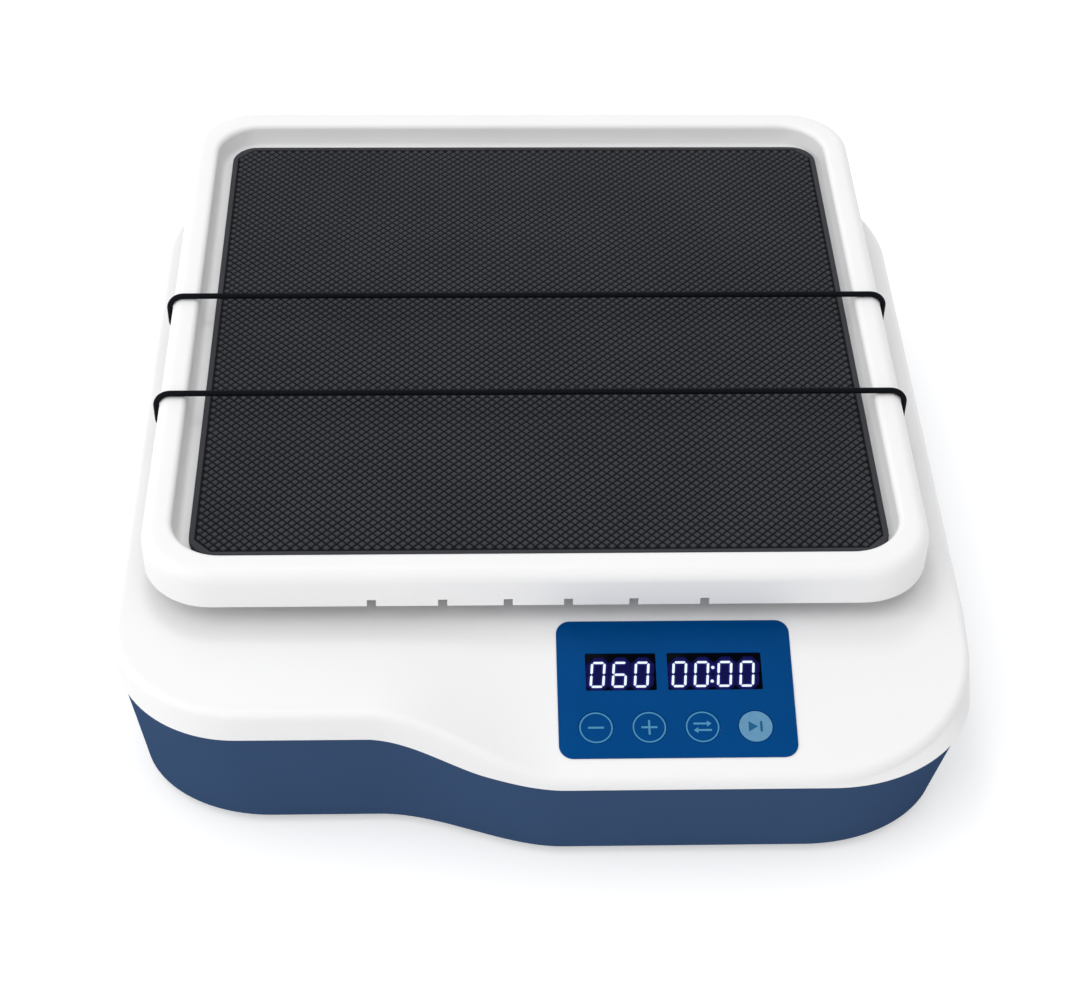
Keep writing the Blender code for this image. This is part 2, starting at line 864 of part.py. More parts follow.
def build_feet():
    """Rubber feet, each a plug with a stem pushed through the floor of the tub."""
    for name, (x, y) in foot_places().items():
        top = foot_height - gap
        turned("rubber_foot_" + name, [
            (0, floor_top - gap),
            (foot_bolt_radius, floor_top - gap),
            (foot_bolt_radius, top),
            (foot_radius - foot_bevel, top),
            (foot_radius, top - foot_bevel),
            (foot_radius, foot_bevel),
            (foot_radius - foot_bevel, 0),
            (0, 0),
        ], (x, y, 0), "rubber")


def build_cover_screws():
    """Screws from below that clamp the tub, the chassis and the cover's pillars."""
    for name, (x, y) in pillar_places().items():
        head_top = foot_height + screw_head_height + gap
        turned("cover_screw_" + name, [
            (0, chassis_top + screw_reach - gap),
            (screw_radius, chassis_top + screw_reach - gap),
            (screw_radius, head_top),
            (screw_head_radius, head_top),
            (screw_head_radius, head_top - screw_head_height),
            (0, head_top - screw_head_height),
        ], (x, y, 0), "steel", steps=small_steps)


def build_chassis():
    depth = chassis_rear - chassis_front
    holes = [circle(housing_radius + gap)]
    holes += [circle(screw_radius + gap, x, y, small_steps) for x, y in pillar_places().values()]
    outer = rounded_rect(2 * chassis_half_width, depth, chassis_corner, 0,
                         (chassis_front + chassis_rear) / 2)
    plate("chassis_plate", [outer] + holes, chassis_bottom, chassis_top, "zinc_plate")


def build_guide():
    """Two guide rods along X, held at their ends by two upright supports."""
    across = (pi / 2, 0, pi / 2)
    height = support_top - chassis_top - gap
    middle = chassis_top + gap + height / 2
    for name, side in (("left", -1), ("right", 1)):
        holes = [circle(rod_radius + gap, end * rod_y, rod_z, small_steps) for end in (-1, 1)]
        outer = rounded_rect(2 * support_half_depth, height, carriage_corner / 2, 0, middle)
        plate("rod_support_" + name, [outer] + holes, -support_thickness / 2,
              support_thickness / 2, "aluminium", (side * support_x, 0, 0), rotation=across)
    for name, end in (("front", -1), ("rear", 1)):
        cylinder("guide_rod_" + name, rod_radius, -rod_length / 2, rod_length / 2,
                 (0, end * rod_y, rod_z), "steel", rotation=(0, pi / 2, 0), steps=small_steps)


def build_carriage():
    """The sliding carriage: blocks with bushes, a plate with the crank's slot, four posts."""
    across = (pi / 2, 0, pi / 2)
    block_top = carriage_bottom - gap - rod_z
    bore = bush_radius + gap
    for name, end in (("front", -1), ("rear", 1)):
        outer = rounded_rect(2 * block_half_depth, 2 * block_top, carriage_corner / 2)
        plate("bearing_block_" + name, [outer, circle(bore)], -block_length / 2, block_length / 2,
              "aluminium", (0, end * rod_y, 0), carriage_axis, across)
        for side_name, side in (("left", -1), ("right", 1)):
            turned("linear_bush_" + name + "_" + side_name, [
                (bush_radius, bush_length / 2),
                (bush_radius, -bush_length / 2),
                (rod_radius + gap, -bush_length / 2),
                (rod_radius + gap, bush_length / 2),
            ], (side * bush_x, end * rod_y, 0), "steel", carriage_axis, round_steps,
                (0, pi / 2, 0))
    real_lag = crank_radius * crank_lag_share
    slot_half_width = roller_radius + real_lag + gap
    slot_half_length = roller_radius + crank_radius + 2 * gap
    slot = rounded_rect(2 * slot_half_width, 2 * slot_half_length, carriage_corner / 2)
    outer = rounded_rect(carriage_length, carriage_depth, carriage_corner)
    plate("carriage_plate", [outer, slot], carriage_bottom - rod_z, carriage_top - rod_z,
          "aluminium", parent=carriage_axis)
    post_top = tray_floor - tray_wall - gap
    for name, (x, y) in post_places().items():
        turned("tray_post_" + name, [
            (0, post_top - tray_screw_length),
            (tray_screw_radius + gap, post_top - tray_screw_length),
            (tray_screw_radius + gap, post_top),
            (post_radius, post_top),
            (post_radius, carriage_top + gap),
            (0, carriage_top + gap),
        ], (x, y, -rod_z), "aluminium", carriage_axis)
        turned("tray_screw_" + name, [
            (0, tray_floor - gap),
            (tray_screw_head, tray_floor - gap),
            (tray_screw_radius, tray_floor - tray_wall / 2 - gap),
            (tray_screw_radius, post_top - tray_screw_length + gap),
            (0, post_top - tray_screw_length + gap),
        ], (x, y, -rod_z), "steel", carriage_axis, small_steps)


def pulley_profile(radius, bore):
    low, high = pulley_bottom, pulley_top
    lip = pulley_flange_thickness
    return [
        (bore, high),
        (radius + pulley_flange, high),
        (radius + pulley_flange, high - lip),
        (radius, high - lip),
        (radius, low + lip),
        (radius + pulley_flange, low + lip),
        (radius + pulley_flange, low),
        (bore, low),
    ]


def belt_line(offset):
    """The belt's path round both pulleys, set out from their rims."""
    distance = -motor_y
    wrap = acos((large_pulley_radius - small_pulley_radius) / distance) * 180 / pi
    large = large_pulley_radius + offset
    small = small_pulley_radius + offset
    around = arc(0, 0, large, large, wrap - 90, 270 - wrap, 2 * fine_steps // 3)
    around += arc(0, motor_y, small, small, 270 - wrap, 270 + wrap, 3 * corner_steps)
    return [(place.x, place.y) for place, _ in around]


def build_drive():
    """Motor, belt and crank, with the crank's shaft in a bearing on the chassis."""
    belt_low = pulley_bottom + pulley_flange_thickness + gap
    belt_high = pulley_top - pulley_flange_thickness - gap
    plate("drive_belt", [belt_line(gap + belt_thickness), belt_line(gap)], belt_low, belt_high,
          "rubber")

    flange_low = chassis_top + gap
    flange_high = flange_low + housing_flange_thickness
    turned("crank_bearing_housing", [
        (bearing_radius + gap, flange_high),
        (housing_flange_radius, flange_high),
        (housing_flange_radius, flange_low),
        (housing_radius, flange_low),
        (housing_radius, housing_bottom),
        (bearing_radius + gap, housing_bottom),
    ], (0, 0, 0), "aluminium", steps=fine_steps)
    turned("crank_bearing", [
        (bearing_radius, flange_high),
        (bearing_radius, housing_bottom),
        (crank_shaft_radius + gap, housing_bottom),
        (crank_shaft_radius + gap, flange_high),
    ], (0, 0, 0), "steel")
    cylinder("crank_shaft", crank_shaft_radius, housing_bottom, pulley_top, (0, 0, 0), "steel",
             crank_axis)
    pulley = turned("crank_pulley", pulley_profile(large_pulley_radius, crank_shaft_radius + gap),
                    (0, 0, 0), "aluminium", crank_axis, fine_steps)
    cut(pulley, cylinder("crank_pin_way", crank_pin_radius + gap, pulley_bottom - overrun,
                         pulley_top + overrun, (0, crank_radius, 0), "steel"))
    cylinder("crank_pin", crank_pin_radius, pulley_bottom, carriage_top, (0, crank_radius, 0),
             "steel", crank_axis)
    turned("crank_roller", [
        (roller_radius, carriage_top - gap),
        (roller_radius, carriage_bottom + gap),
        (crank_pin_radius + gap, carriage_bottom + gap),
        (crank_pin_radius + gap, carriage_top - gap),
    ], (0, crank_radius, 0), "steel", crank_axis)

    pilot_bottom = bracket_top - bracket_thickness
    motor = plate("motor_body", [rounded_rect(motor_width, motor_width, motor_bevel)],
                  bracket_top + gap, motor_top, "black_plastic",
                  (0, 0, 0), motor_axis)
    join(motor, cylinder("motor_pilot", motor_pilot_radius, pilot_bottom, bracket_top + 2 * gap,
                         (0, motor_y, 0), "steel"))
    cylinder("motor_shaft", motor_shaft_radius, pulley_bottom - gap, pilot_bottom - gap, (0, 0, 0),
             "steel", motor_axis)
    turned("motor_pulley", pulley_profile(small_pulley_radius, motor_shaft_radius + gap),
           (0, 0, 0), "aluminium", motor_axis)
    bracket = box("motor_bracket", (bracket_width, bracket_depth, bracket_top - chassis_top - gap),
                  (0, motor_y, (bracket_top + chassis_top + gap) / 2), "zinc_plate")
    cut(bracket, box("bracket_tunnel", (bracket_width - 2 * bracket_thickness,
                                        bracket_depth + 2 * overrun,
                                        bracket_top - chassis_top),
                     (0, motor_y, (bracket_top + chassis_top) / 2 - bracket_thickness), "steel"))
    cut(bracket, cylinder("pilot_way", motor_pilot_radius + gap, pilot_bottom - overrun,
                          bracket_top + overrun, (0, motor_y, 0), "steel"))


def build_panel():
    """The console's film with its two windows, the displays, the keys and the board."""
    windows = []
    for middle, width in ((speed_window_u, speed_window_width), (time_window_u, time_window_width)):
        windows.append(rounded_rect(width, window_height, 2 * gap, middle, window_v, 2))
    keys = [circle(key_radius + key_gap, key_first_u + k * key_pitch, key_v) for k in range(key_count)]
    outer = rounded_rect(panel_width, panel_length, panel_corner, 0, panel_middle_v)
    plate("panel_film", [outer] + windows + keys, panel_proud - panel_thickness, panel_proud,
          "panel_film", parent=console)
    display_top = panel_proud - display_sink
    display_bottom = gap - board_depth
    for name, middle, width in (("speed_display", speed_window_u, speed_window_width),
                                ("time_display", time_window_u, time_window_width)):
        box(name, (width - 2 * display_margin, window_height - 2 * display_margin,
                   display_top - display_bottom),
            (middle, window_v, (display_top + display_bottom) / 2), "display", parent=console)
    key_top = panel_proud - key_sink
    stem_bottom = key_travel + gap - board_depth
    for k, name in enumerate(("key_minus", "key_plus", "key_mode", "key_start")):
        turned(name, [
            (0, key_top),
            (key_radius, key_top),
            (key_radius, key_top - key_thickness),
            (key_stem_radius, key_top - key_thickness),
            (key_stem_radius, stem_bottom),
            (0, stem_bottom),
        ], (key_first_u + k * key_pitch, key_v, 0), "key_film", console)
    plate("control_board", [rounded_rect(board_width, board_length, board_boss_radius / 2, 0,
                                         board_v, 2)],
          -board_depth - board_thickness, -board_depth, "circuit_board", parent=console)


def build_rear_fittings():
    """The low-voltage inlet and the rocker switch in the tub's rear wall."""
    seat = gap
    face = seat + inlet_flange_thickness
    turned("power_inlet", [
        (0, face - inlet_pin_depth),
        (inlet_pin_radius, face - inlet_pin_depth),
        (inlet_pin_radius, face - inlet_bore_depth),
        (inlet_bore_radius, face - inlet_bore_depth),
        (inlet_bore_radius, face),
        (inlet_flange_radius, face),
        (inlet_flange_radius, seat),
        (inlet_barrel_radius, seat),
        (inlet_barrel_radius, seat - inlet_length),
        (0, seat - inlet_length),
    ], (inlet_x, rear_wall_outer, rear_fitting_z), "black_plastic", rotation=(-pi / 2, 0, 0))
    flange_y = rear_wall_outer + gap + switch_flange_thickness / 2
    housing = box("switch_housing", (switch_flange_width, switch_flange_thickness,
                                     switch_flange_height),
                  (switch_x, flange_y, rear_fitting_z), "black_plastic")
    body_y = rear_wall_outer + 2 * gap - switch_body_depth / 2
    join(housing, box("switch_body", (switch_body_width, switch_body_depth, switch_body_height),
                      (switch_x, body_y, rear_fitting_z), "black_plastic"))
    pivot_y = rear_wall_outer + gap + switch_flange_thickness - rocker_dish
    cavity_depth = rocker_radius + 2 * rocker_side_clearance
    cut(housing, box("rocker_way", (2 * (rocker_radius + rocker_side_clearance),
                                    cavity_depth + switch_flange_thickness,
                                    rocker_height + 2 * gap),
                     (switch_x, pivot_y + (switch_flange_thickness - cavity_depth) / 2,
                      rear_fitting_z), "steel"))
    profile = [(place.x, place.y)
               for place, _ in arc(0, 0, rocker_radius, rocker_radius, 180, 360, 3 * corner_steps)]
    profile.append((0, -rocker_dish))
    plate("power_rocker", [profile], -rocker_height / 2, rocker_height / 2, "black_plastic",
          (switch_x, pivot_y, rear_fitting_z), rotation=(0, 0, rocker_tilt))


def smooth_route(points, steps):
    """A smooth line through hand-placed points, with its first and last stretches straight."""
    route = [points[0]]
    for a, b, c, d in zip(points, points[1:], points[2:], points[3:]):
        for step in range(steps):
            t = step / steps
            route.append((b * 2 + (c - a) * t + (a * 2 - b * 5 + c * 4 - d) * t ** 2
                          + (b * 3 - a - c * 3 + d) * t ** 3) / 2)
    return route + points[-2:]


def on_board(u, v, below):
    """A place under the control board, in the frame of the tray's middle."""
    depth = board_depth + board_thickness + below
    return Vector((panel_x + u,
                   -console_break + v * cos(console_angle) + depth * sin(console_angle),
                   deck_height + v * sin(console_angle) - depth * cos(console_angle)))


def build_cables():
    """Two inner cables, from the motor and from the inlet to the control board."""
    motor_face = motor_y - motor_width / 2 - gap
    exit_z = motor_top - cable_exit_depth
    motor_points = [
        Vector((0.008, motor_face, exit_z)),
        Vector((0.008, motor_face - 0.005, exit_z)),
        on_board(-0.0328, -0.0059, 0.0068),
        on_board(-0.0188, -0.0175, 0.0107),
        on_board(-0.0078, -0.0253, 0.0127),
        on_board(-0.002, board_v, 0.007),
        on_board(-0.002, board_v, gap),
    ]
    wire("motor_cable", smooth_route(motor_points, motor_cable_steps), cable_radius, "black_plastic")
    inlet_end = rear_wall_outer + gap - inlet_length - gap
    route_x = cable_side_inset - pillar_x
    power_points = [Vector(p) for p in (
        (inlet_x, inlet_end, rear_fitting_z),
        (inlet_x, inlet_end - 0.006, rear_fitting_z),
        (inlet_x - 0.010, 0.104, 0.021),
        (route_x + 0.030, 0.094, 0.0162),
        (route_x + 0.008, 0.082, 0.0146),
        (route_x, 0.050, 0.0146),
        (route_x, -0.010, 0.0146),
        (route_x, -0.070, 0.0146),
        (route_x + 0.004, -0.110, 0.0150),
        (route_x + 0.024, -0.142, 0.0175),
        (-0.060, -0.160, 0.0210),
        (-0.015, -0.170, 0.0240),
        (0.012, -0.172, 0.0290),
    )] + [on_board(-0.032, board_v, 0.007), on_board(-0.032, board_v, gap)]
    wire("power_cable", smooth_route(power_points, power_cable_steps), cable_radius, "black_plastic")


build_base()
build_cover()
build_feet()
build_cover_screws()
build_chassis()
build_guide()
build_carriage()
build_drive()
build_tray()
build_mat()
build_holding_cord("holding_cord_front", front_cord_y)
build_holding_cord("holding_cord_rear", rear_cord_y)
build_panel()
build_rear_fittings()
build_cables()
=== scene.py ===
"""The looks of a bench-top linear shaker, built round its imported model.

Metres, +Z up, and the front faces -Y. A tray with a studded mat and two elastic cords slides
left and right over a two-part housing: a blue tub and a white cover whose right front bulges
forward and slopes down as a console. Flat pieces are drawn in the plane of the console or of
the deck and then set in place.
"""

import json
from math import cos, pi, radians, sin, sqrt, tan

import bmesh
import bpy
from mathutils import Matrix, Vector


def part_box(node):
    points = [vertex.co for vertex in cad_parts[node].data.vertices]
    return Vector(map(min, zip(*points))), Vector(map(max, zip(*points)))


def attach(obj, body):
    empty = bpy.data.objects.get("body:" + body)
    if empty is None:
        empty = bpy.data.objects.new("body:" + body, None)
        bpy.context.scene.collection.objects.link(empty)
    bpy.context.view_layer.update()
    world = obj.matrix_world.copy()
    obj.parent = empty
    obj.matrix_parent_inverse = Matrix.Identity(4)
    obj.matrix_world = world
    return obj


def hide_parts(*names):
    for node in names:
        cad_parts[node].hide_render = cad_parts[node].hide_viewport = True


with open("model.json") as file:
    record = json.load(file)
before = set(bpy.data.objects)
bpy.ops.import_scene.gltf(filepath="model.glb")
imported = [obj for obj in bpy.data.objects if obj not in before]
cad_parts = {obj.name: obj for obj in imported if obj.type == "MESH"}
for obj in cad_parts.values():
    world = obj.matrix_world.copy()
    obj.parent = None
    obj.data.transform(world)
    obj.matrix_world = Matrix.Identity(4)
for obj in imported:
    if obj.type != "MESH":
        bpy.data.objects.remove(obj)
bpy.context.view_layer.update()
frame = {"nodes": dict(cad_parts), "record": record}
nodes = frame["nodes"]

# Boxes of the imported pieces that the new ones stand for
tray_low, tray_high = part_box("tray")
cover_low, cover_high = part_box("top_cover")
tub_low, tub_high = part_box("base_shell")
mat_low, mat_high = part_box("tray_mat")
post_low, post_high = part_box("tray_post_front_right")

# Housing, measured from the middle of the tray
middle_y = (tray_low.y + tray_high.y) / 2
body_half_width = cover_high.x
front_reach = middle_y - cover_low.y
rear_reach = cover_high.y - middle_y
left_front_reach = 0.1970
left_corner = Vector((0.052, 0.048))
right_corner = Vector((0.063, 0.0524))
seam_left_corner = Vector((0.0482, 0.048))
seam_right_corner = Vector((0.0552, 0.0415))
foot_left_corner = Vector((0.0540, 0.0425))
foot_right_corner = Vector((0.0580, 0.0445))
foot_side_taper = 0.0068
foot_front_taper = 0.0021
rear_corner = Vector((0.065, 0.065))
wave_left_x = -0.064
wave_right_x = 0.008
collar_height = 0.004
collar_wall = 0.0022
deck_height = cover_high.z - collar_height
seam_height = 0.0515
seam_share = 0.55
seam_wave = (-0.067, -0.021)
console_angle = radians(16.0)
console_break = 0.149
console_blend = 0.003
deck_edge_radius = 0.003
cover_wall = 0.0022
front_overhang = 0.0008
rear_overhang = cover_high.y - tub_high.y
tub_wall = 0.003
tub_edge_radius = 0.002
tongue_height = 0.0015
middle_width_share = 0.81
middle_front = 0.143
middle_front_share = 0.23
middle_rear_share = 0.80

# Tray and mat
tray_depth = tray_high.y - tray_low.y
tray_width = 0.2966
tray_x = -0.0014
tray_corner = 0.027
skirt_size = (tray_width, tray_depth, tray_corner)
tray_wall = 0.0024
tray_outer_radius = 0.005
tray_inner_radius = 0.0025
recess_size = (0.2738, 0.2772, 0.0192)
recess_fillet = 0.0022
tray_top = tray_high.z
skirt_bottom = tray_low.z
recess_draft = 0.0010
clearance = 0.0003
tray_floor = mat_low.z - clearance
notch_width = 0.0034
notch_height = 0.0032
front_notch_places = (0.0112, 0.0355, 0.0619)
side_notch_places = (0.012, 0.031, 0.050)
mat_half_width = mat_high.x
mat_corner = 0.0108
mat_bevel = 0.0006
mat_margin = 0.0026
mat_border_steps = ((0.0001, 0.8), (0.00045, 0.1), (0.00065, 0.0))
stud_pitch = 0.002713
stud_corner_rows = 66
stud_height = 0.0007
stud_slope_width = 0.00055
smallest_stud_share = 0.3
# Heights on a stud, as shares of its height down from the top, between which the painted groove
# shade fades into the studs' tone
groove_shade_share = 0.85
top_tone_share = 0.1

# Holding cords
cord_radius = 0.0012
cord_clearance = 0.0001
bead_radius = 0.0024
bead_flare = 0.7
cord_places = {"front": -0.050, "rear": 0.012}

# Posts and collars under the tray
post_radius = (post_high.x - post_low.x) / 2
slot_half_travel = 0.010
slot_side_clearance = 0.0015

# Fasteners, feet and rear fittings
corner_names = ("front_left", "front_right", "rear_left", "rear_right")
pillar_radius = 0.005
boss_radius = 0.006
screw_radius = 0.0013
screw_head_height = 0.0020
tray_screw_radius = 0.0023
thread_pitch = 0.0007
thread_depth = 0.00025
foot_bolt_radius = 0.0018
inlet_flange_thickness = 0.0015
inlet_barrel_radius = 0.0055
inlet_bore_radius = 0.00325
inlet_bore_depth = 0.0110
inlet_pin_radius = 0.00105
inlet_pin_depth = 0.0022
switch_flange_thickness = 0.0015
switch_body = Vector((0.0190, 0.0170, 0.0130))
switch_body_edge = 0.0006
switch_corner = 0.0012
switch_edge = 0.0004
rocker_radius = 0.0074
rocker_height = 0.0102
rocker_dish = 0.0006
rocker_tilt = radians(10.0)
rocker_edge = 0.00035
rocker_bar = (0.0007, 0.0044, 0.0003)
rocker_ring = (0.0018, 0.0012)

# Console panel, measured along the slope from its upper edge
panel_x = 0.0488
panel_width = 0.0872
panel_length = 0.0558
panel_top_v = -0.0020
panel_corner = 0.0052
panel_proud = 0.0005
panel_thickness = 0.0010
panel_edge_bevel = 0.00018
window_v = -0.0231
window_height = 0.0153
windows = {"speed": (-0.0200, 0.0262), "time": (0.0148, 0.0350)}
display_margin = 0.00005
display_sink = 0.0003
key_v = -0.0457
key_first_u = -0.02995
key_pitch = 0.0195
key_radius = 0.00645
key_gap = 0.00009
key_sink = 0.00005
print_thickness = 0.00003

# Digits and symbols
digit_width = 0.0055
digit_height = 0.01065
digit_top_v = -0.01885
digit_slant = 0.09
segment_width = 0.00090
segment_gap = 0.00024
digit_lefts = {"speed": (("0", -0.03085), ("6", -0.02275), ("0", -0.01455)),
               "time": (("0", -0.00055), ("0", 0.00765), ("0", 0.01625), ("0", 0.02455))}
colon_dots = ((0.01425, -0.0215), (0.0137, -0.0271))
colon_radius = 0.00062
lit_segments = {"0": "abcdef", "6": "acdefg"}
halo_spread = 0.0006
haze_spread = 0.0018
ring_radius = 0.0061
ring_line = 0.00050
mark_length = 0.0058
mark_width = 0.00075
arrow_length = 0.0066
arrow_offset = 0.0013
arrow_head_share = 1.6
play_left = -0.0026
play_tip = 0.0008
play_half_height = 0.0021
pause_x = 0.00205
pause_width = 0.0009

# Console frame: u to the right, v up the slope, n out of it
console_place = (Matrix.Translation((panel_x, middle_y - console_break, deck_height))
                 @ Matrix.Rotation(console_angle, 4, "X"))


# Materials

class Value:
    """A number in a shader. Python's operators on it add Math nodes to its graph."""

    def __init__(self, graph, socket):
        self.graph = graph
        self.socket = socket

    def __add__(self, other):
        return self.graph.math("ADD", self, other)

    def __mul__(self, other):
        return self.graph.math("MULTIPLY", self, other)

    __radd__ = __add__
    __rmul__ = __mul__


class Graph:
    """The nodes of a material, or of the world, round the shader that it starts with."""

    def __init__(self, name, kind="materials", shader="Principled BSDF", **settings):
        self.owner = getattr(bpy.data, kind).new(name)
        self.owner.use_nodes = True
        self.tree = self.owner.node_tree
        self.shader = self.tree.nodes[shader]
        for socket, value in settings.items():
            self.set(socket.replace("_", " ").title().replace("Ior", "IOR"), value)

    def set(self, socket, value):
        self.feed(self.shader.inputs[socket], value)

    def feed(self, socket, value):
        if isinstance(value, Value):
            self.tree.links.new(value.socket, socket)
        else:
            socket.default_value = value

    def node(self, kind, settings=(), inputs=(), output=0):
        """Adds a node: its settings are set first, then its sockets are fed."""
        made = self.tree.nodes.new("ShaderNode" + kind)
        for key, value in dict(settings).items():
            setattr(made, key, value)
        for key, value in dict(inputs).items():
            self.feed(made.inputs[key], value)
        return Value(self, made.outputs[output])

    def math(self, operation, first, second, **settings):
        return self.node("Math", {"operation": operation, **settings}, {0: first, 1: second})

    def mix(self, factor, first, second):
        """A colour between two colours."""
        return self.node("Mix", {"data_type": "RGBA"}, {0: factor, 6: first, 7: second}, 2)

    def noise(self, grain, detail=2.0, roughness=0.5):
        """Noise with a grain of the size given, in metres."""
        place = self.node("TexCoord", output=3)
        return self.node("TexNoise", (), {"Vector": place, "Scale": 1 / grain,
                                         "Detail": detail, "Roughness": roughness})

    def ramp(self, value, low, high):
        """0 at low, 1 at high and even between."""
        return self.node("MapRange", {"clamp": True},
                         {"Value": value, "From Min": low, "From Max": high})

    def mottle(self, color, dark, light, patch, detail):
        """Two tones of a colour in soft patches of the size given. Returns their pattern."""
        slow = self.ramp(self.noise(patch, detail), 0.3, 0.7)
        self.set("Base Color", self.mix(slow, tone(color, dark), tone(color, light)))
        return slow

    def bump(self, height, strength, distance):
        self.set("Normal", self.node("Bump", (), {"Height": height, "Strength": strength,
                                                  "Distance": distance}))


def tone(color, factor):
    return (color[0] * factor, color[1] * factor, color[2] * factor, 1.0)


def moulded(name, color, roughness, grain, bump, variation=0.03, **settings):
    """Moulded plastic or rubber: a fine grain, and slow changes of tone and gloss."""
    look = Graph(name, **settings)
    slow = look.mottle(color, 1 - variation, 1 + variation, 0.045, 3.0)
    fine = look.noise(grain, 2.0, 0.6)
    look.set("Roughness", roughness - 0.04 + 0.05 * slow + 0.05 * fine)
    look.bump(fine, bump, grain)
    return look.owner


def studded_rubber(name, groove_shade, top, grain=0.0003):
    """Black rubber with a mottled tone on its studs, and painted shade that darkens it down in the
    grooves between them.
    """
    look = Graph(name, specular_ior_level=0.12)
    slow = look.ramp(look.noise(0.045, 3.0), 0.3, 0.7)
    fine = look.noise(grain, 2.0, 0.6)
    place = look.node("TexCoord", output=3)
    height = look.node("SeparateXYZ", (), {0: place}, 2)
    # Painted shade: the base colour goes from the near-black groove colour up to the studs' tone
    # as the surface rises out of the grooves
    out_of_groove_shade = look.ramp(height, mat_high.z - groove_shade_share * stud_height,
                       mat_high.z - top_tone_share * stud_height)
    top_tone = look.mix(slow, tone(top, 0.9), tone(top, 1.1))
    look.set("Base Color", look.mix(out_of_groove_shade, tone(groove_shade, 1.0), top_tone))
    look.set("Roughness", 0.54 + 0.06 * slow + 0.06 * fine)
    look.bump(fine, 0.10, grain)
    return look.owner


def metal(name, color, roughness, grain=0.0006):
    """Machined metal: faint stains and a fine grain in its gloss."""
    look = Graph(name, metallic=1.0)
    slow = look.mottle(color, 0.94, 1.0, 0.012, 3.0)
    fine = look.noise(grain, 2.0, 0.7)
    look.set("Roughness", roughness + 0.08 * slow + 0.08 * fine)
    look.bump(fine, 0.05, grain / 4)
    return look.owner


def glow(name, color, strength=1.0):
    """A lit part of a display."""
    look = Graph(name, base_color=tone(color, 0.2), roughness=0.5, specular_ior_level=0.0,
                 emission_strength=strength)
    soft = look.ramp(look.noise(0.0012, 1.0), 0.2, 0.8)
    look.set("Emission Color", look.mix(soft, tone(color, 0.92), tone(color, 1.0)))
    return look.owner


def printed(name, color):
    """Screen-printed ink on the film."""
    look = Graph(name, specular_ior_level=0.1)
    slow = look.mottle(color, 0.95, 1.03, 0.002, 2.0)
    look.set("Roughness", 0.30 + 0.08 * slow)
    return look.owner


def glossy_film(name, color, roughness, gloss):
    """Smooth film or window: very fine waviness in its gloss."""
    look = Graph(name, specular_ior_level=gloss)
    slow = look.mottle(color, 0.97, 1.03, 0.018, 2.0)
    look.set("Roughness", roughness + 0.04 * slow)
    look.bump(look.noise(0.0035, 1.0), 0.04, 0.0004)
    return look.owner


white_plastic = moulded("white_plastic", (0.875, 0.875, 0.882), 0.42, 0.00045, 0.05, 0.008)
blue_plastic = moulded("blue_plastic", (0.0418, 0.0798, 0.1640), 0.50, 0.0005, 0.07, 0.02,
                       specular_ior_level=0.0)
# The first colour is painted shade for the mat's grooves; the second is the tone of the stud tops
mat_rubber = studded_rubber("mat_rubber", (0.0035, 0.0038, 0.0050), (0.0395, 0.0410, 0.0485))
cord_rubber = moulded("cord_rubber", (0.004, 0.005, 0.007), 0.64, 0.0004, 0.12, 0.10,
                      specular_ior_level=0.05)
foot_rubber = moulded("foot_rubber", (0.022, 0.022, 0.024), 0.70, 0.0006, 0.15, 0.10)
black_plastic = moulded("black_plastic", (0.020, 0.020, 0.022), 0.42, 0.0005, 0.10, 0.06)
board_green = moulded("board_green", (0.020, 0.120, 0.050), 0.45, 0.0008, 0.05, 0.06)
panel_film = glossy_film("panel_film", (0.0001, 0.0555, 0.2130), 0.16, 0.03)
key_film = glossy_film("key_film", (0.0001, 0.0555, 0.2130), 0.20, 0.03)
display_window = glossy_film("display_window", (0.0010, 0.0016, 0.0040), 0.12, 0.005)
pale_ink = printed("pale_ink", (0.120, 0.284, 0.448))
line_ink = printed("line_ink", (0.072, 0.270, 0.450))
dark_ink = printed("dark_ink", (0.010, 0.110, 0.240))
white_ink = printed("white_ink", (0.75, 0.75, 0.75))
digit_light = glow("digit_light", (0.80, 0.90, 1.0))
halo_light = glow("halo_light", (0.012, 0.013, 0.125))
faint_light = glow("faint_light", (0.0065, 0.0065, 0.064))
ground_steel = metal("ground_steel", (0.56, 0.56, 0.58), 0.26)
machined_aluminium = metal("machined_aluminium", (0.72, 0.72, 0.74), 0.32)
zinc_plate = metal("zinc_plate", (0.60, 0.61, 0.63), 0.40, 0.0012)


# Shapes

def arc(x, y, reach, start, end, steps):
    """Points and outward directions along part of an ellipse, angles in degrees."""
    found = []
    for step in range(steps + 1):
        angle = radians(start + (end - start) * step / steps)
        out = Vector((cos(angle) / reach.x, sin(angle) / reach.y)).normalized()
        found.append((Vector((x + reach.x * cos(angle), y + reach.y * sin(angle))), out))
    return found


def quarter_turn(steps):
    """Angles from 0 to a right angle, in even steps."""
    return [pi / 2 * step / steps for step in range(steps + 1)]


def quarter(reach_x, reach_z, x, z, start, steps=5):
    """Points of a turned profile round a corner, from an angle in degrees downwards."""
    return [place for place, _ in arc(x, z, Vector((reach_x, reach_z)), start, start - 90, steps)]


def rounded_rect(width, depth, radius, x=0.0, y=0.0, steps=8):
    right = width / 2 - radius
    top = depth / 2 - radius
    outline = []
    corners = ((right, top), (-right, top), (-right, -top), (right, -top))
    for number, (corner_x, corner_y) in enumerate(corners):
        places = arc(x + corner_x, y + corner_y, Vector((radius, radius)), 90 * number,
                     90 * number + 90, steps)
        outline += [place for place, _ in places]
    return outline


def circle(radius, x=0.0, y=0.0, steps=48):
    return [Vector((x + radius * cos(2 * pi * k / steps), y + radius * sin(2 * pi * k / steps)))
            for k in range(steps)]


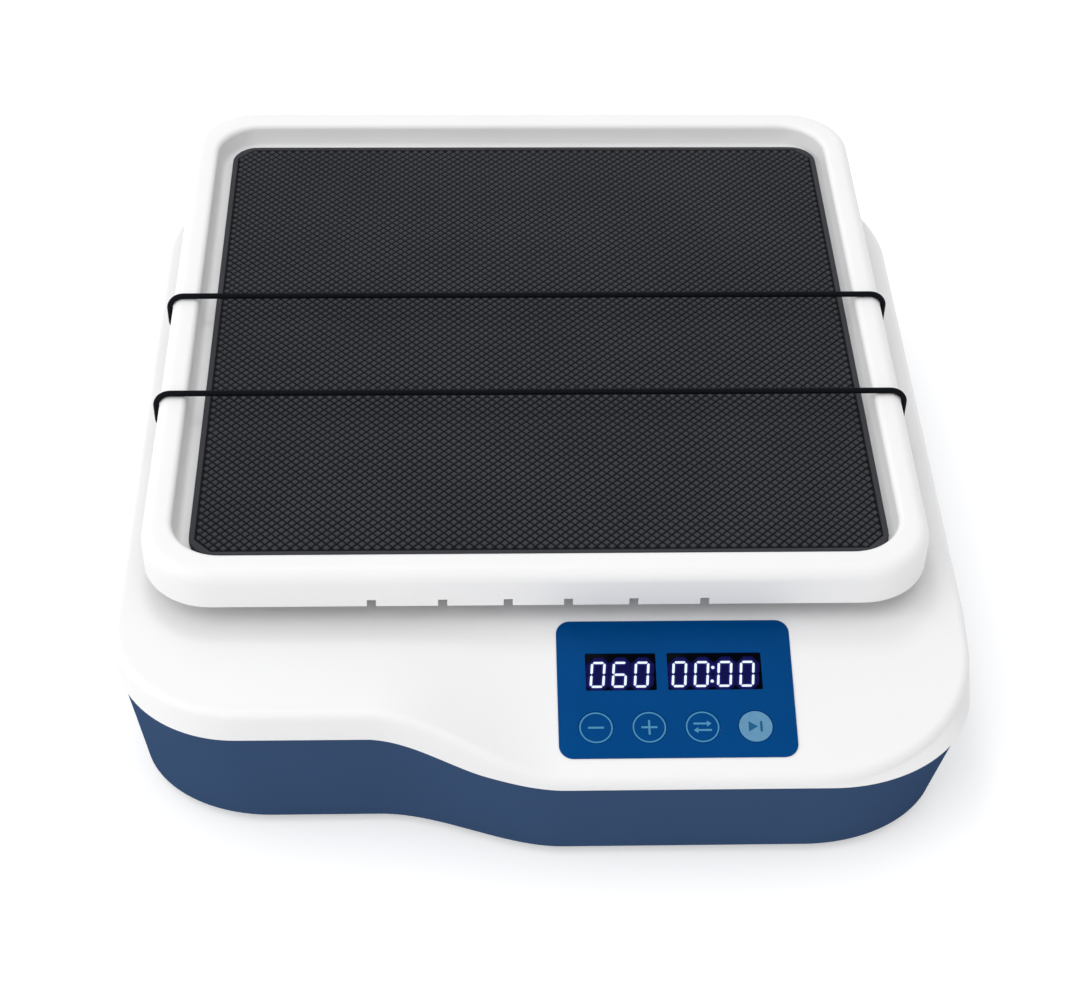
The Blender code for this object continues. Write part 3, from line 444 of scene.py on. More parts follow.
def cross(length, width):
    """A plus sign, its arms as long and as wide as given, from tip to tip."""
    long, short = length / 2, width / 2
    outline = []
    for turn in range(4):
        across = Matrix.Rotation(pi / 2 * turn, 2)
        outline += [across @ Vector(point)
                    for point in ((short, short), (short, long), (-short, long))]
    return outline


def bar(width, height, x=0.0):
    """An upright rectangle, its middle at x."""
    return [(x + across * width / 2, up * height / 2)
            for across, up in ((-1, -1), (1, -1), (1, 1), (-1, 1))]


def only(kind, items):
    return [item for item in items if isinstance(item, kind)]


def shell(name, rings, look, thickness, missing=None):
    """A wall through rings of equal count, closed at the last. Missing faces are left out."""
    bm = bmesh.new()
    turn = bm.verts.layers.int.new("turn")
    row = [bm.verts.new(point) for point in rings[0]]
    for number, vert in enumerate(row):
        vert[turn] = number
    edges = [bm.edges.new(pair) for pair in zip(row, row[1:] + row[:1])]
    for ring in rings[1:]:
        grown = bmesh.ops.extrude_edge_only(bm, edges=edges)["geom"]
        edges = only(bmesh.types.BMEdge, grown)
        for vert in only(bmesh.types.BMVert, grown):
            vert.co = ring[vert[turn]]
    bmesh.ops.edgeloop_fill(bm, edges=edges)
    if missing:
        bmesh.ops.delete(bm, geom=[face for face in bm.faces if missing(face)], context="FACES")
    bmesh.ops.recalc_face_normals(bm, faces=bm.faces)
    obj = shown(name, bm, look)
    step = obj.modifiers.new("wall", "SOLIDIFY")
    step.thickness = thickness
    step.offset = -1.0
    step.use_even_offset = True
    step.use_rim = True
    return obj


def plate(outlines, low, high):
    """A flat plate between two heights. Outlines after the first are holes in it."""
    bm = bmesh.new()
    for outline in outlines:
        row = [bm.verts.new((x, y, low)) for x, y in outline]
        for pair in zip(row, row[1:] + row[:1]):
            bm.edges.new(pair)
    bmesh.ops.triangle_fill(bm, use_beauty=True, edges=bm.edges)
    out_of_groove_shade = bmesh.ops.extrude_face_region(bm, geom=bm.faces[:])["geom"]
    bmesh.ops.translate(bm, vec=(0, 0, high - low), verts=only(bmesh.types.BMVert, out_of_groove_shade))
    bmesh.ops.recalc_face_normals(bm, faces=bm.faces)
    return bm


def turned(profile, steps=48):
    """A profile of (radius, height) points turned about Z."""
    bm = bmesh.new()
    row = [bm.verts.new((radius, 0, height)) for radius, height in profile]
    pairs = list(zip(row, row[1:]))
    if profile[0][0] > 0:
        pairs.append((row[-1], row[0]))
    edges = [bm.edges.new(pair) for pair in pairs]
    bmesh.ops.spin(bm, geom=row + edges, axis=(0, 0, 1), cent=(0, 0, 0), angle=2 * pi,
                   steps=steps, use_merge=True)
    bmesh.ops.remove_doubles(bm, verts=bm.verts, dist=1e-6)
    bmesh.ops.recalc_face_normals(bm, faces=bm.faces)
    return bm


def block(size, bevel, middle):
    """A box with rounded edges."""
    bm = bmesh.new()
    bmesh.ops.create_cube(bm, size=1.0)
    bmesh.ops.scale(bm, vec=size, verts=bm.verts)
    bmesh.ops.bevel(bm, geom=bm.edges[:], offset=bevel, segments=3, profile=0.5,
                    affect="EDGES", material=-1)
    bmesh.ops.translate(bm, vec=middle, verts=bm.verts)
    return bm


def soften(bm, chosen, width):
    """Rounds the edges that the test chooses."""
    edges = [edge for edge in bm.edges if chosen(edge)]
    bmesh.ops.bevel(bm, geom=edges, offset=width, segments=2, profile=0.5,
                    affect="EDGES", material=-1, clamp_overlap=True)


def shown(name, bm, look, place=Matrix.Identity(4)):
    """Makes the object of a finished bmesh, with its place in its mesh."""
    bmesh.ops.transform(bm, matrix=place, verts=bm.verts)
    mesh = bpy.data.meshes.new(name)
    bm.to_mesh(mesh)
    bm.free()
    mesh.materials.append(look)
    obj = bpy.data.objects.new(name, mesh)
    bpy.context.scene.collection.objects.link(obj)
    shade(mesh)
    return obj


def shade(mesh):
    mesh.shade_smooth()
    mesh.set_sharp_from_angle(angle=radians(32))


def combined(obj, changes):
    """Applies the object's modifiers and Booleans with the meshes given, in their order."""
    tools = []
    for number, (operation, bm, place) in enumerate(changes):
        other = shown(f"{obj.name}_tool_{number}", bm, obj.data.materials[0], place)
        step = obj.modifiers.new("change", "BOOLEAN")
        step.operation = operation
        step.solver = "EXACT"
        step.object = other
        tools.append(other)
    evaluated = obj.evaluated_get(bpy.context.evaluated_depsgraph_get())
    mesh = bpy.data.meshes.new_from_object(evaluated)
    obj.modifiers.clear()
    obj.data = mesh
    for other in tools:
        bpy.data.objects.remove(other)
    shade(mesh)


def middle_of(node, z=0.0):
    """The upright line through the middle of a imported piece."""
    low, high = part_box(node)
    return Matrix.Translation(((low.x + high.x) / 2, (low.y + high.y) / 2, z))


def on_rear_wall(node):
    """The plane of the tub's rear wall round a fitting, z out of the wall."""
    low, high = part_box(node)
    spot = Vector(((low.x + high.x) / 2, tub_high.y, (low.z + high.z) / 2))
    return Matrix.Translation(spot) @ Matrix.Rotation(-pi / 2, 4, "X")


def seat(obj, body, slot, *replaced):
    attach(obj, body)
    if replaced:
        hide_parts(*replaced)
    return obj


def stand_in(name, node, profile, look, body, slot, steps=48, hollow=None):
    """A turned piece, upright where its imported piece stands. A hollow is cut into it."""
    piece = shown(name, turned(profile, steps), look, middle_of(node))
    if hollow:
        combined(piece, [("DIFFERENCE", hollow, middle_of(node))])
    seat(piece, body, slot, node)


# Housing

def wave_share(x, left=wave_left_x, right=wave_right_x):
    """0 on the left, 1 over the console at the right, with a smooth step between."""
    share = min(max((x - left) / (right - left), 0.0), 1.0)
    return share * share * (3 - 2 * share)


def front_line(x):
    return -(left_front_reach + (front_reach - left_front_reach) * wave_share(x))


def straight(start, end, steps):
    """Points between two corners, without them, with their outward direction."""
    start, end = Vector(start), Vector(end)
    along = (end - start).normalized()
    out = Vector((along.y, -along.x))
    return [(start.lerp(end, step / steps), out) for step in range(1, steps)]


def body_outline(left_corner, right_corner, corner_steps=28, wave_steps=56, side_steps=14,
                 console_steps=12):
    """Points on the housing's plan outline with their outward directions."""
    side, rear, front = body_half_width, rear_reach, -front_reach
    right_start = front + right_corner.y
    left_start = left_corner.y - left_front_reach
    rear_start = rear - rear_corner.y
    inner = side - rear_corner.x
    right_inner = side - right_corner.x
    points = straight((side, right_start), (side, rear_start), side_steps)
    points += arc(inner, rear_start, rear_corner, 0, 90, corner_steps)
    points += straight((inner, rear), (-inner, rear), side_steps)
    points += arc(-inner, rear_start, rear_corner, 90, 180, corner_steps)
    points += straight((-side, rear_start), (-side, left_start), side_steps)
    points += arc(left_corner.x - side, left_start, left_corner, 180, 270, corner_steps)
    step = (wave_right_x - wave_left_x) / wave_steps
    for k in range(wave_steps + 1):
        x = wave_left_x + step * k
        along = Vector((2 * step, front_line(x + step) - front_line(x - step))).normalized()
        points.append((Vector((x, front_line(x))), Vector((along.y, -along.x))))
    points += straight((wave_right_x, front), (right_inner, front), console_steps)
    points += arc(right_inner, right_start, right_corner, 270, 360, corner_steps)
    return points


deck_outline = body_outline(left_corner, right_corner)
seam_outline = body_outline(seam_left_corner, seam_right_corner)
foot_outline = body_outline(foot_left_corner, foot_right_corner)


def slope_drop(y):
    """How far the console's slope has come down at a distance from the tray's middle."""
    past = -console_break - y
    return tan(console_angle) * (past + sqrt(past * past + console_blend * console_blend)) / 2


def deck_drop(x, y):
    return wave_share(x) * slope_drop(y)


def deck_z(x, y):
    return deck_height - deck_drop(x, y)


def seam_z(x, y):
    return seam_height - seam_share * wave_share(x, *seam_wave) * slope_drop(y)


def housing_ring(outline, inset, height, drop=0.0, front=0.0, rear=0.0):
    """A ring set in from a plan outline, at the height that a function of x and y gives."""
    ring = []
    for place, out in outline:
        spot = place - out * (inset + front * max(-out.y, 0) + rear * max(out.y, 0))
        ring.append(Vector((spot.x, spot.y + middle_y, height(spot.x, spot.y) - drop)))
    return ring


def middle_place(place):
    """Where a point of the outline ends on the flat middle of the deck."""
    x = place.x * middle_width_share
    start = -middle_front + (front_reach - console_break) * middle_front_share
    if place.y < -console_break:
        return Vector((x, start + (place.y + console_break) * middle_front_share))
    share = (place.y + console_break) / (rear_reach + console_break)
    return Vector((x, start * (1 - share) + rear_reach * middle_rear_share * share))


def slot_outline(extra):
    """The outline of a post's slot in the deck, with a margin all round."""
    width = 2 * (post_radius + slot_side_clearance + extra)
    return rounded_rect(width + 2 * slot_half_travel, width, width / 2 - 1e-5, steps=12)


def make_cover(edge_steps=8, deck_steps=56, flattening=8):
    """The white cover: side band, rounded edge, deck with the console, slots and recess."""
    rings = [housing_ring(seam_outline, 0, seam_z)]
    for angle in quarter_turn(edge_steps):
        rings.append(housing_ring(deck_outline, deck_edge_radius * (1 - cos(angle)), deck_z,
                                  deck_edge_radius * (1 - sin(angle))))
    edge = rings[-1]
    for step in range(1, deck_steps + 1):
        share = step / deck_steps
        ring = []
        for start, (place, _) in zip(edge, deck_outline):
            spot = Vector((start.x, start.y - middle_y)).lerp(middle_place(place), share)
            height = deck_height - deck_drop(spot.x, spot.y) * (1 - share ** flattening)
            ring.append(Vector((spot.x, spot.y + middle_y, height)))
        rings.append(ring)
    cover = shell("cover_moulding", rings, white_plastic, cover_wall)
    changes = []
    for operation, margin, low, high in (("UNION", collar_wall, -cover_wall / 2, collar_height),
                                         ("DIFFERENCE", 0, -2 * cover_wall, 2 * collar_height)):
        for name in corner_names:
            changes.append((operation, plate([slot_outline(margin)], low, high),
                            middle_of("tray_post_" + name, deck_height)))
    chassis_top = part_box("chassis_plate")[1].z + clearance
    for name in corner_names:
        pillar = plate([circle(pillar_radius, steps=32),
                        circle(screw_radius + clearance, steps=24)],
                       chassis_top, deck_height - cover_wall / 2)
        changes.append(("UNION", pillar, middle_of("cover_screw_" + name)))
    recess = rounded_rect(panel_width + clearance / 2, panel_length + clearance / 2,
                          panel_corner + clearance / 4, 0, panel_top_v - panel_length / 2)
    depth = panel_thickness - panel_proud + clearance
    changes.append(("DIFFERENCE", plate([recess], -depth, panel_thickness), console_place))
    combined(cover, changes)
    seat(cover, "base", "white_shell", "top_cover")


def make_tub(edge_steps=6, floor_share=0.85, wall_steps=6):
    """The blue tub with its rounded lower edge and its tongue inside the cover."""
    floor = tub_low.z
    narrow = Matrix.Diagonal((1 - foot_side_taper / body_half_width, 1, 1))

    def foot_ring(inset, height):
        ring = housing_ring(foot_outline, front_overhang + inset, lambda x, y: height, 0,
                            foot_front_taper, rear_overhang - front_overhang)
        return [narrow @ point for point in ring]

    centre = Vector((0, middle_y, floor))
    rim = foot_ring(tub_edge_radius, floor)
    rings = [[centre.lerp(point, floor_share) for point in rim]]
    for angle in quarter_turn(edge_steps):
        rings.append(foot_ring(tub_edge_radius * (1 - sin(angle)),
                               floor + tub_edge_radius * (1 - cos(angle))))
    low = rings[-1]
    top = housing_ring(seam_outline, front_overhang, seam_z, clearance,
                       rear=rear_overhang - front_overhang)
    for step in range(1, wall_steps + 1):
        share = step / wall_steps
        rings.append([start.lerp(end, share) for start, end in zip(low, top)])
    rings.append(housing_ring(seam_outline, rear_overhang, seam_z, clearance))
    rings.append(housing_ring(seam_outline, rear_overhang, seam_z, -tongue_height))
    rings.reverse()
    tub = shell("tub_moulding", rings, blue_plastic, tub_wall)
    changes = []
    seat_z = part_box("chassis_plate")[0].z - clearance
    ledge = floor + screw_head_height + 2 * clearance
    waist = screw_radius + clearance
    for name in corner_names:
        low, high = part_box("cover_screw_" + name)
        head = (high.x - low.x) / 2 + clearance
        boss = plate([circle(boss_radius, steps=32)], floor + tub_wall / 2, seat_z)
        way = turned([(0, 0), (head, 0), (head, ledge), (waist, ledge),
                      (waist, seat_z + tub_wall), (0, seat_z + tub_wall)], 32)
        bolt = plate([circle(foot_bolt_radius + clearance, steps=24)], 0, floor + 2 * tub_wall)
        changes += [("UNION", boss, middle_of("cover_screw_" + name)),
                    ("DIFFERENCE", way, middle_of("cover_screw_" + name)),
                    ("DIFFERENCE", bolt, middle_of("rubber_foot_" + name))]
    switch_hole = rounded_rect(switch_body.x + 2 * clearance, switch_body.z + 2 * clearance,
                               clearance)
    for name, hole in (("power_inlet", circle(inlet_barrel_radius + clearance)),
                       ("switch_housing", switch_hole)):
        changes.append(("DIFFERENCE", plate([hole], -2 * tub_wall, 2 * tub_wall),
                        on_rear_wall(name)))
    combined(tub, changes)
    seat(tub, "base", "blue_shell", "base_shell")


# Tray, mat and cords

def notched_rect(width, depth, corner, steps=14):
    """A rounded rectangle with points where the notches of the skirt begin and end."""
    outline = []
    for number in range(4):
        turn = Matrix.Rotation(pi / 2 * number, 2)
        length, reach = (depth, width / 2) if number % 2 else (width, depth / 2)
        half = length / 2 - corner
        places = side_notch_places if number % 2 else front_notch_places
        marks = []
        for side in (-1, 1):
            for place in places:
                marks += [side * place - notch_width / 2, side * place + notch_width / 2]
        marks += [half * share for share in (-0.9, -0.75, 0.75, 0.9)]
        outline += [turn @ Vector((-mark, reach)) for mark in sorted(marks)]
        outline += [turn @ place for place, _ in arc(-half, reach - corner,
                                                     Vector((corner, corner)), 90, 180, steps)]
    return outline


def tray_ring(size, trim, height):
    """A ring set in from the outline of the skirt or of the recess, at a height."""
    width, depth, corner = size
    return [Vector((point.x + tray_x, point.y + middle_y, height))
            for point in notched_rect(width - 2 * trim, depth - 2 * trim, corner - trim)]


def in_notch(face):
    """True for a face of the skirt's lowest band that a notch takes away."""
    spot = face.calc_center_median()
    if spot.z > skirt_bottom + notch_height:
        return False
    x, y = abs(spot.x - tray_x), abs(spot.y - middle_y)
    along, places = (x, front_notch_places) if y > x else (y, side_notch_places)
    return any(abs(along - place) < notch_width / 2 for place in places)


def make_tray(outer_steps=10, inner_steps=8):
    """The white tray: a notched skirt, a wide rounded rim and the recess for the mat."""
    rings = [tray_ring(skirt_size, 0, skirt_bottom),
             tray_ring(skirt_size, 0, skirt_bottom + notch_height)]
    for angle in quarter_turn(outer_steps):
        rings.append(tray_ring(skirt_size, tray_outer_radius * (1 - cos(angle)),
                               tray_top - tray_outer_radius * (1 - sin(angle))))
    for angle in quarter_turn(inner_steps):
        rings.append(tray_ring(recess_size, tray_inner_radius * (sin(angle) - 1),
                               tray_top - tray_inner_radius * (1 - cos(angle))))
    foot = recess_draft * (1 - recess_fillet / (tray_top - tray_floor))
    for angle in quarter_turn(inner_steps):
        rings.append(tray_ring(recess_size, foot + recess_fillet * (1 - cos(angle)),
                               tray_floor + recess_fillet * (1 - sin(angle))))
    tray = shell("tray_moulding", rings, white_plastic, tray_wall, in_notch)
    changes = []
    above, below = tray_floor + tray_wall, tray_floor - 2 * tray_wall
    waist = tray_screw_radius + clearance
    for name in corner_names:
        low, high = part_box("tray_screw_" + name)
        head = (high.x - low.x) / 2 + clearance
        way = turned([(0, above), (head, above), (head, tray_floor - clearance),
                      (waist, tray_floor - tray_wall / 2 - clearance), (waist, below),
                      (0, below)], 32)
        changes.append(("DIFFERENCE", way, middle_of("tray_screw_" + name)))
    combined(tray, changes)
    seat(tray, "carriage", "white_shell", "tray")


def make_mat():
    """The rubber mat: a field of square studs, set cornerwise, inside a smooth margin."""
    field = mat_half_width - mat_margin
    count = 2 * int(field * sqrt(2) / stud_pitch + 1)
    bm = bmesh.new()
    bmesh.ops.create_grid(bm, x_segments=count, y_segments=count, size=count * stud_pitch / 2)
    bmesh.ops.rotate(bm, cent=(0, 0, 0), matrix=Matrix.Rotation(pi / 4, 3, "Z"), verts=bm.verts)
    for turn in range(8):
        out = Matrix.Rotation(pi / 4 * turn, 3, "Z") @ Vector((1, 0, 0))
        reach = stud_corner_rows * stud_pitch if turn % 2 else field
        bmesh.ops.bisect_plane(bm, geom=bm.verts[:] + bm.edges[:] + bm.faces[:], dist=1e-7,
                               plane_co=out * reach, plane_no=out, clear_outer=True)
    smallest = smallest_stud_share * stud_pitch * stud_pitch
    studs = [face for face in bm.faces if face.calc_area() > smallest]
    bmesh.ops.inset_individual(bm, faces=studs, thickness=stud_slope_width, depth=stud_height,
                               use_even_offset=True)
    top = mat_high.z
    bmesh.ops.translate(bm, vec=(0, 0, top - stud_height), verts=bm.verts)
    core = mat_half_width - mat_corner

    def grow(edges, height, place):
        """The next ring of the margin: the border moved out and set to a height."""
        grown = bmesh.ops.extrude_edge_only(bm, edges=edges)["geom"]
        for vert in only(bmesh.types.BMVert, grown):
            spot = place(vert.co.xy)
            vert.co = (spot.x, spot.y, height)
        return only(bmesh.types.BMEdge, grown)

    def wider(offset):
        return lambda spot: spot * (1 + offset / field)

    def round_corner(inset):
        def place(spot):
            nearest = Vector((min(max(spot.x, -core), core), min(max(spot.y, -core), core)))
            return nearest + (spot - nearest).normalized() * (mat_corner - inset)
        return place

    edges = [edge for edge in bm.edges if edge.is_boundary]
    for offset, depth in mat_border_steps:
        edges = grow(edges, top - depth * stud_height, wider(offset))
    for angle in quarter_turn(4):
        edges = grow(edges, top - mat_bevel * (1 - cos(angle)),
                     round_corner(mat_bevel * (1 - sin(angle))))
    edges = grow(edges, mat_low.z, round_corner(0))
    bmesh.ops.edgeloop_fill(bm, edges=edges)
    bmesh.ops.recalc_face_normals(bm, faces=bm.faces)
    mat = shown("studded_mat", bm, mat_rubber, Matrix.Translation((0, middle_y, 0)))
    seat(mat, "carriage", "mat_rubber", "tray_mat")


def tube(name, points, radius, look):
    """A round cord along the points."""
    curve = bpy.data.curves.new(name, "CURVE")
    curve.dimensions = "3D"
    curve.bevel_depth = radius
    curve.bevel_resolution = 4
    curve.use_fill_caps = True
    spline = curve.splines.new("POLY")
    spline.points.add(len(points) - 1)
    for point, place in zip(spline.points, points):
        point.co = (*place, 1)
    guide = bpy.data.objects.new(name + "_guide", curve)
    bpy.context.scene.collection.objects.link(guide)
    evaluated = guide.evaluated_get(bpy.context.evaluated_depsgraph_get())
    mesh = bpy.data.meshes.new_from_object(evaluated)
    bm = bmesh.new()
    bm.from_mesh(mesh)
    bpy.data.objects.remove(guide)
    bmesh.ops.remove_doubles(bm, verts=bm.verts, dist=1e-6)
    bmesh.ops.recalc_face_normals(bm, faces=bm.faces)
    return shown(name, bm, look)


def make_cord(side_name, y, hook_steps=8, rim_steps=14, span_steps=24):
    """An elastic cord across the tray, hooked under a notch at each side by a bead."""
    reach = tray_width / 2
    turn = tray_outer_radius + cord_clearance + cord_radius
    hook = 2 * cord_radius
    hook_z = skirt_bottom + notch_height / 2
    bead_x = reach - tray_wall - clearance - bead_radius
    half = [(bead_x, hook_z)]
    for angle in quarter_turn(hook_steps):
        half.append((reach + cord_clearance + cord_radius - hook + hook * sin(angle),
                     hook_z + hook - hook * cos(angle)))
    for angle in quarter_turn(rim_steps):
        half.append((reach - tray_outer_radius + turn * cos(angle),
                     tray_top - tray_outer_radius + turn * sin(angle)))
    last_x, last_z = half[-1]
    half += [(last_x * (1 - step / span_steps), last_z) for step in range(1, span_steps)]
    right = [Vector((tray_x + x, y + middle_y, z)) for x, z in half]
    left = [Vector((tray_x - x, y + middle_y, z)) for x, z in reversed(half)]
    path = right + left
    cord = tube("elastic_cord_" + side_name, path, cord_radius, cord_rubber)
    edge, flare = bead_radius / 2, bead_flare * bead_radius
    profile = [(0, bead_radius)] + quarter(flare, edge, bead_radius - flare, edge, 90)
    profile += quarter(flare, edge, bead_radius - flare, -edge, 0) + [(0, -bead_radius)]
    for side, end in ((-1, "left"), (1, "right")):
        place = Matrix.Translation((tray_x + side * bead_x, y + middle_y, hook_z))
        bead = shown(f"cord_bead_{side_name}_{end}", turned(profile, 32), cord_rubber, place)
        seat(bead, "carriage", "cord_elastic")
    seat(cord, "carriage", "cord_elastic", "holding_cord_" + side_name)


# Console

def on_console(name, bm, look, body, slot, *replaced, place=Matrix.Identity(4)):
    seat(shown(name, bm, look, console_place @ place), body, slot, *replaced)


def key_u(number):
    return key_first_u + number * key_pitch


def make_film():
    """The film over the console, with its windows and the holes round its keys."""
    openings = [rounded_rect(width, window_height, 2 * clearance, middle, window_v, 4)
                for middle, width in windows.values()]
    openings += [circle(key_radius + key_gap, key_u(number), key_v, 64) for number in range(4)]
    border = rounded_rect(panel_width, panel_length, panel_corner, 0,
                          panel_top_v - panel_length / 2, 14)
    bm = plate([border] + openings, panel_proud - panel_thickness, panel_proud)
    half_width = panel_width / 2 - panel_corner
    half_length = panel_length / 2 - panel_corner

    def on_border(edge):
        if min(vert.co.z for vert in edge.verts) < panel_proud - clearance:
            return False
        if not any(abs(face.normal.z) < 0.5 for face in edge.link_faces):
            return False
        for vert in edge.verts:
            x = max(abs(vert.co.x) - half_width, 0)
            y = max(abs(vert.co.y - panel_top_v + panel_length / 2) - half_length, 0)
            if sqrt(x * x + y * y) < panel_corner - clearance:
                return False
        return True

    soften(bm, on_border, panel_edge_bevel)
    on_console("panel_sheet", bm, panel_film, "base", "panel_film", "panel_film")


def segment_lines():
    """The middle line of each of a digit's seven segments, from its lower left corner."""
    left, right = segment_width / 2, digit_width - segment_width / 2
    low, high = segment_width / 2, digit_height - segment_width / 2
    middle = digit_height / 2
    return {"a": ((left, high), (right, high)), "b": ((right, middle), (right, high)),
            "c": ((right, low), (right, middle)), "d": ((left, low), (right, low)),
            "e": ((left, low), (left, middle)), "f": ((left, middle), (left, high)),
            "g": ((left, middle), (right, middle))}


def segment_outline(start, end, spread):
    """A bar with pointed ends, grown by the spread on all sides."""
    start, end = Vector(start), Vector(end)
    along = (end - start).normalized()
    half = segment_width / 2 + spread
    across = Vector((-along.y, along.x)) * half
    tip = along * (segment_gap - spread)
    neck = tip + along * half
    return [start + tip, start + neck - across, end - neck - across, end - tip,
            end - neck + across, start + neck + across]


def make_digits(display, kind, look, spread, lift):
    """All the lit bars of one display, as thin plates just over its window."""
    lines = segment_lines()
    outlines = []
    for digit, left in digit_lefts[display]:
        for name in lines if kind == "haze" else lit_segments[digit]:
            outlines.append([(left + x + digit_slant * (y - digit_height),
                              digit_top_v - digit_height + y)
                             for x, y in segment_outline(*lines[name], spread)])
    if display == "time":
        outlines += [circle(colon_radius + spread, u, v, 20) for u, v in colon_dots]
    bm = bmesh.new()
    for shape in outlines:
        part = plate([shape], lift, lift + print_thickness / 3)
        mesh = bpy.data.meshes.new("bar")
        part.to_mesh(mesh)
        part.free()
        bm.from_mesh(mesh)
        bpy.data.meshes.remove(mesh)
    on_console(f"{display}_{kind}", bm, look, "base", "display_glass",
               place=Matrix.Translation((0, 0, panel_proud - display_sink)))


def make_displays():
    """Two dark windows, each with lit digits and the soft light round them."""
    for name, (middle, width) in windows.items():
        low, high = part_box(f"{name}_display")
        depth = (high.z - low.z) / 2
        bm = block((width - 2 * display_margin, window_height - 2 * display_margin, depth),
                   clearance / 2, (middle, window_v, panel_proud - display_sink - depth / 2))
        on_console(f"{name}_window", bm, display_window, "base", "display_glass",
                   f"{name}_display")
        make_digits(name, "haze", faint_light, haze_spread, 0.0)
        make_digits(name, "halo", halo_light, halo_spread, print_thickness)
        make_digits(name, "digits", digit_light, 0.0, 2 * print_thickness)


def arrow(y, direction):
    """A thin arrow that points left or right."""
    half, head = arrow_length / 2, arrow_length / 4
    shaft, barb = mark_width / 2, arrow_head_share * mark_width
    points = ((-half, -shaft), (half - head, -shaft), (half - head, -barb), (half, 0),
              (half - head, barb), (half - head, shaft), (-half, shaft))
    return [(direction * px, y + py) for px, py in points]


def make_keys():
    """Four round keys, each with a printed ring or disc and a plain symbol."""
    play = [(play_left, -play_half_height), (play_tip, 0), (play_left, play_half_height)]
    marks = {
        "minus": [bar(mark_length, mark_width)],
        "plus": [cross(mark_length, mark_width)],
        "mode": [arrow(arrow_offset, 1), arrow(-arrow_offset, -1)],
        "start": [play, bar(pause_width, 2 * play_half_height, pause_x)],
    }
    top = panel_proud - key_sink
    under = top - panel_thickness / 2
    edge = clearance / 4
    for number, (name, shapes) in enumerate(marks.items()):
        place = Matrix.Translation((key_u(number), key_v, 0))
        body = name + "_key"
        cap = turned([(0, top), (key_radius - edge, top), (key_radius, top - edge),
                      (key_radius, under), (0, under)], 64)
        on_console(name + "_cap", cap, key_film, body, "key_film", "key_" + name, place=place)
        filled = name == "start"
        radii = [ring_radius] if filled else [ring_radius, ring_radius - ring_line]
        ring = plate([circle(radius, steps=64) for radius in radii], top, top + print_thickness)
        on_console(name + "_ring", ring, pale_ink if filled else line_ink, body,
                   "start_key_film", place=place)
        for count, shape in enumerate(shapes):
            mark = plate([shape], top, top + 2 * print_thickness)
            on_console(f"{name}_mark_{count}", mark, dark_ink if filled else line_ink, body,
                       "start_key_film", place=place)


# Feet, posts and fasteners

def make_feet(edge=0.0009, cup_share=0.55):
    """Rubber feet with rounded edges, a shallow cup below and a stem in the floor."""
    top = tub_low.z - clearance
    for name in corner_names:
        low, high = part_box("rubber_foot_" + name)
        radius = (high.x - low.x) / 2
        cup = radius * cup_share
        profile = [(0, high.z), (foot_bolt_radius, high.z), (foot_bolt_radius, top)]
        profile += quarter(edge, edge, radius - edge, top - edge, 90)
        profile += quarter(edge, edge, radius - edge, edge, 0)
        profile += [(cup, 0), (cup - edge, edge), (0, edge)]
        stand_in("foot_" + name, "rubber_foot_" + name, profile, foot_rubber, "base",
                 "foot_rubber")


def threaded(radius, low, high):
    """Profile points down a threaded shank, from its root under the head to its tip."""
    points = []
    turns = int((high - low) / thread_pitch)
    for turn in range(turns):
        z = high - turn * thread_pitch
        points += [(radius - thread_depth, z), (radius, z - thread_pitch / 2)]
    points += [(radius - thread_depth, low + thread_pitch / 2), (radius - 2 * thread_depth, low)]
    return points


def make_screws(edge=0.0005, slot_length=1.25, slot_width=0.2, socket_radius=0.5):
    """Pan-head screws that hold tub, chassis and cover, and sunk screws in the tray."""
    for name in corner_names:
        low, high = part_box("cover_screw_" + name)
        head = (high.x - low.x) / 2
        under = low.z + screw_head_height
        shank = threaded(screw_radius, -high.z, -under)
        profile = [(0, high.z)] + [(radius, -z) for radius, z in reversed(shank)]
        profile += [(head, under)] + quarter(edge, edge, head - edge, low.z + edge, 0)
        profile.append((0, low.z))
        slot = plate([cross(slot_length * head, slot_width * head)], low.z - head,
                     low.z + screw_head_height / 2)
        stand_in("pan_screw_" + name, "cover_screw_" + name, profile, zinc_plate, "base",
                 "machined_steel", 32, slot)
    for name in corner_names:
        low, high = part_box("tray_screw_" + name)
        head = (high.x - low.x) / 2
        neck = tray_floor - tray_wall / 2 - clearance
        profile = [(0, high.z), (head, high.z), (head, high.z - clearance)]
        profile += threaded(tray_screw_radius, low.z, neck) + [(0, low.z)]
        socket = plate([circle(socket_radius * head, steps=6)], high.z - tray_wall / 2,
                       high.z + tray_wall)
        stand_in("sunk_screw_" + name, "tray_screw_" + name, profile, zinc_plate, "carriage",
                 "machined_steel", 32, socket)


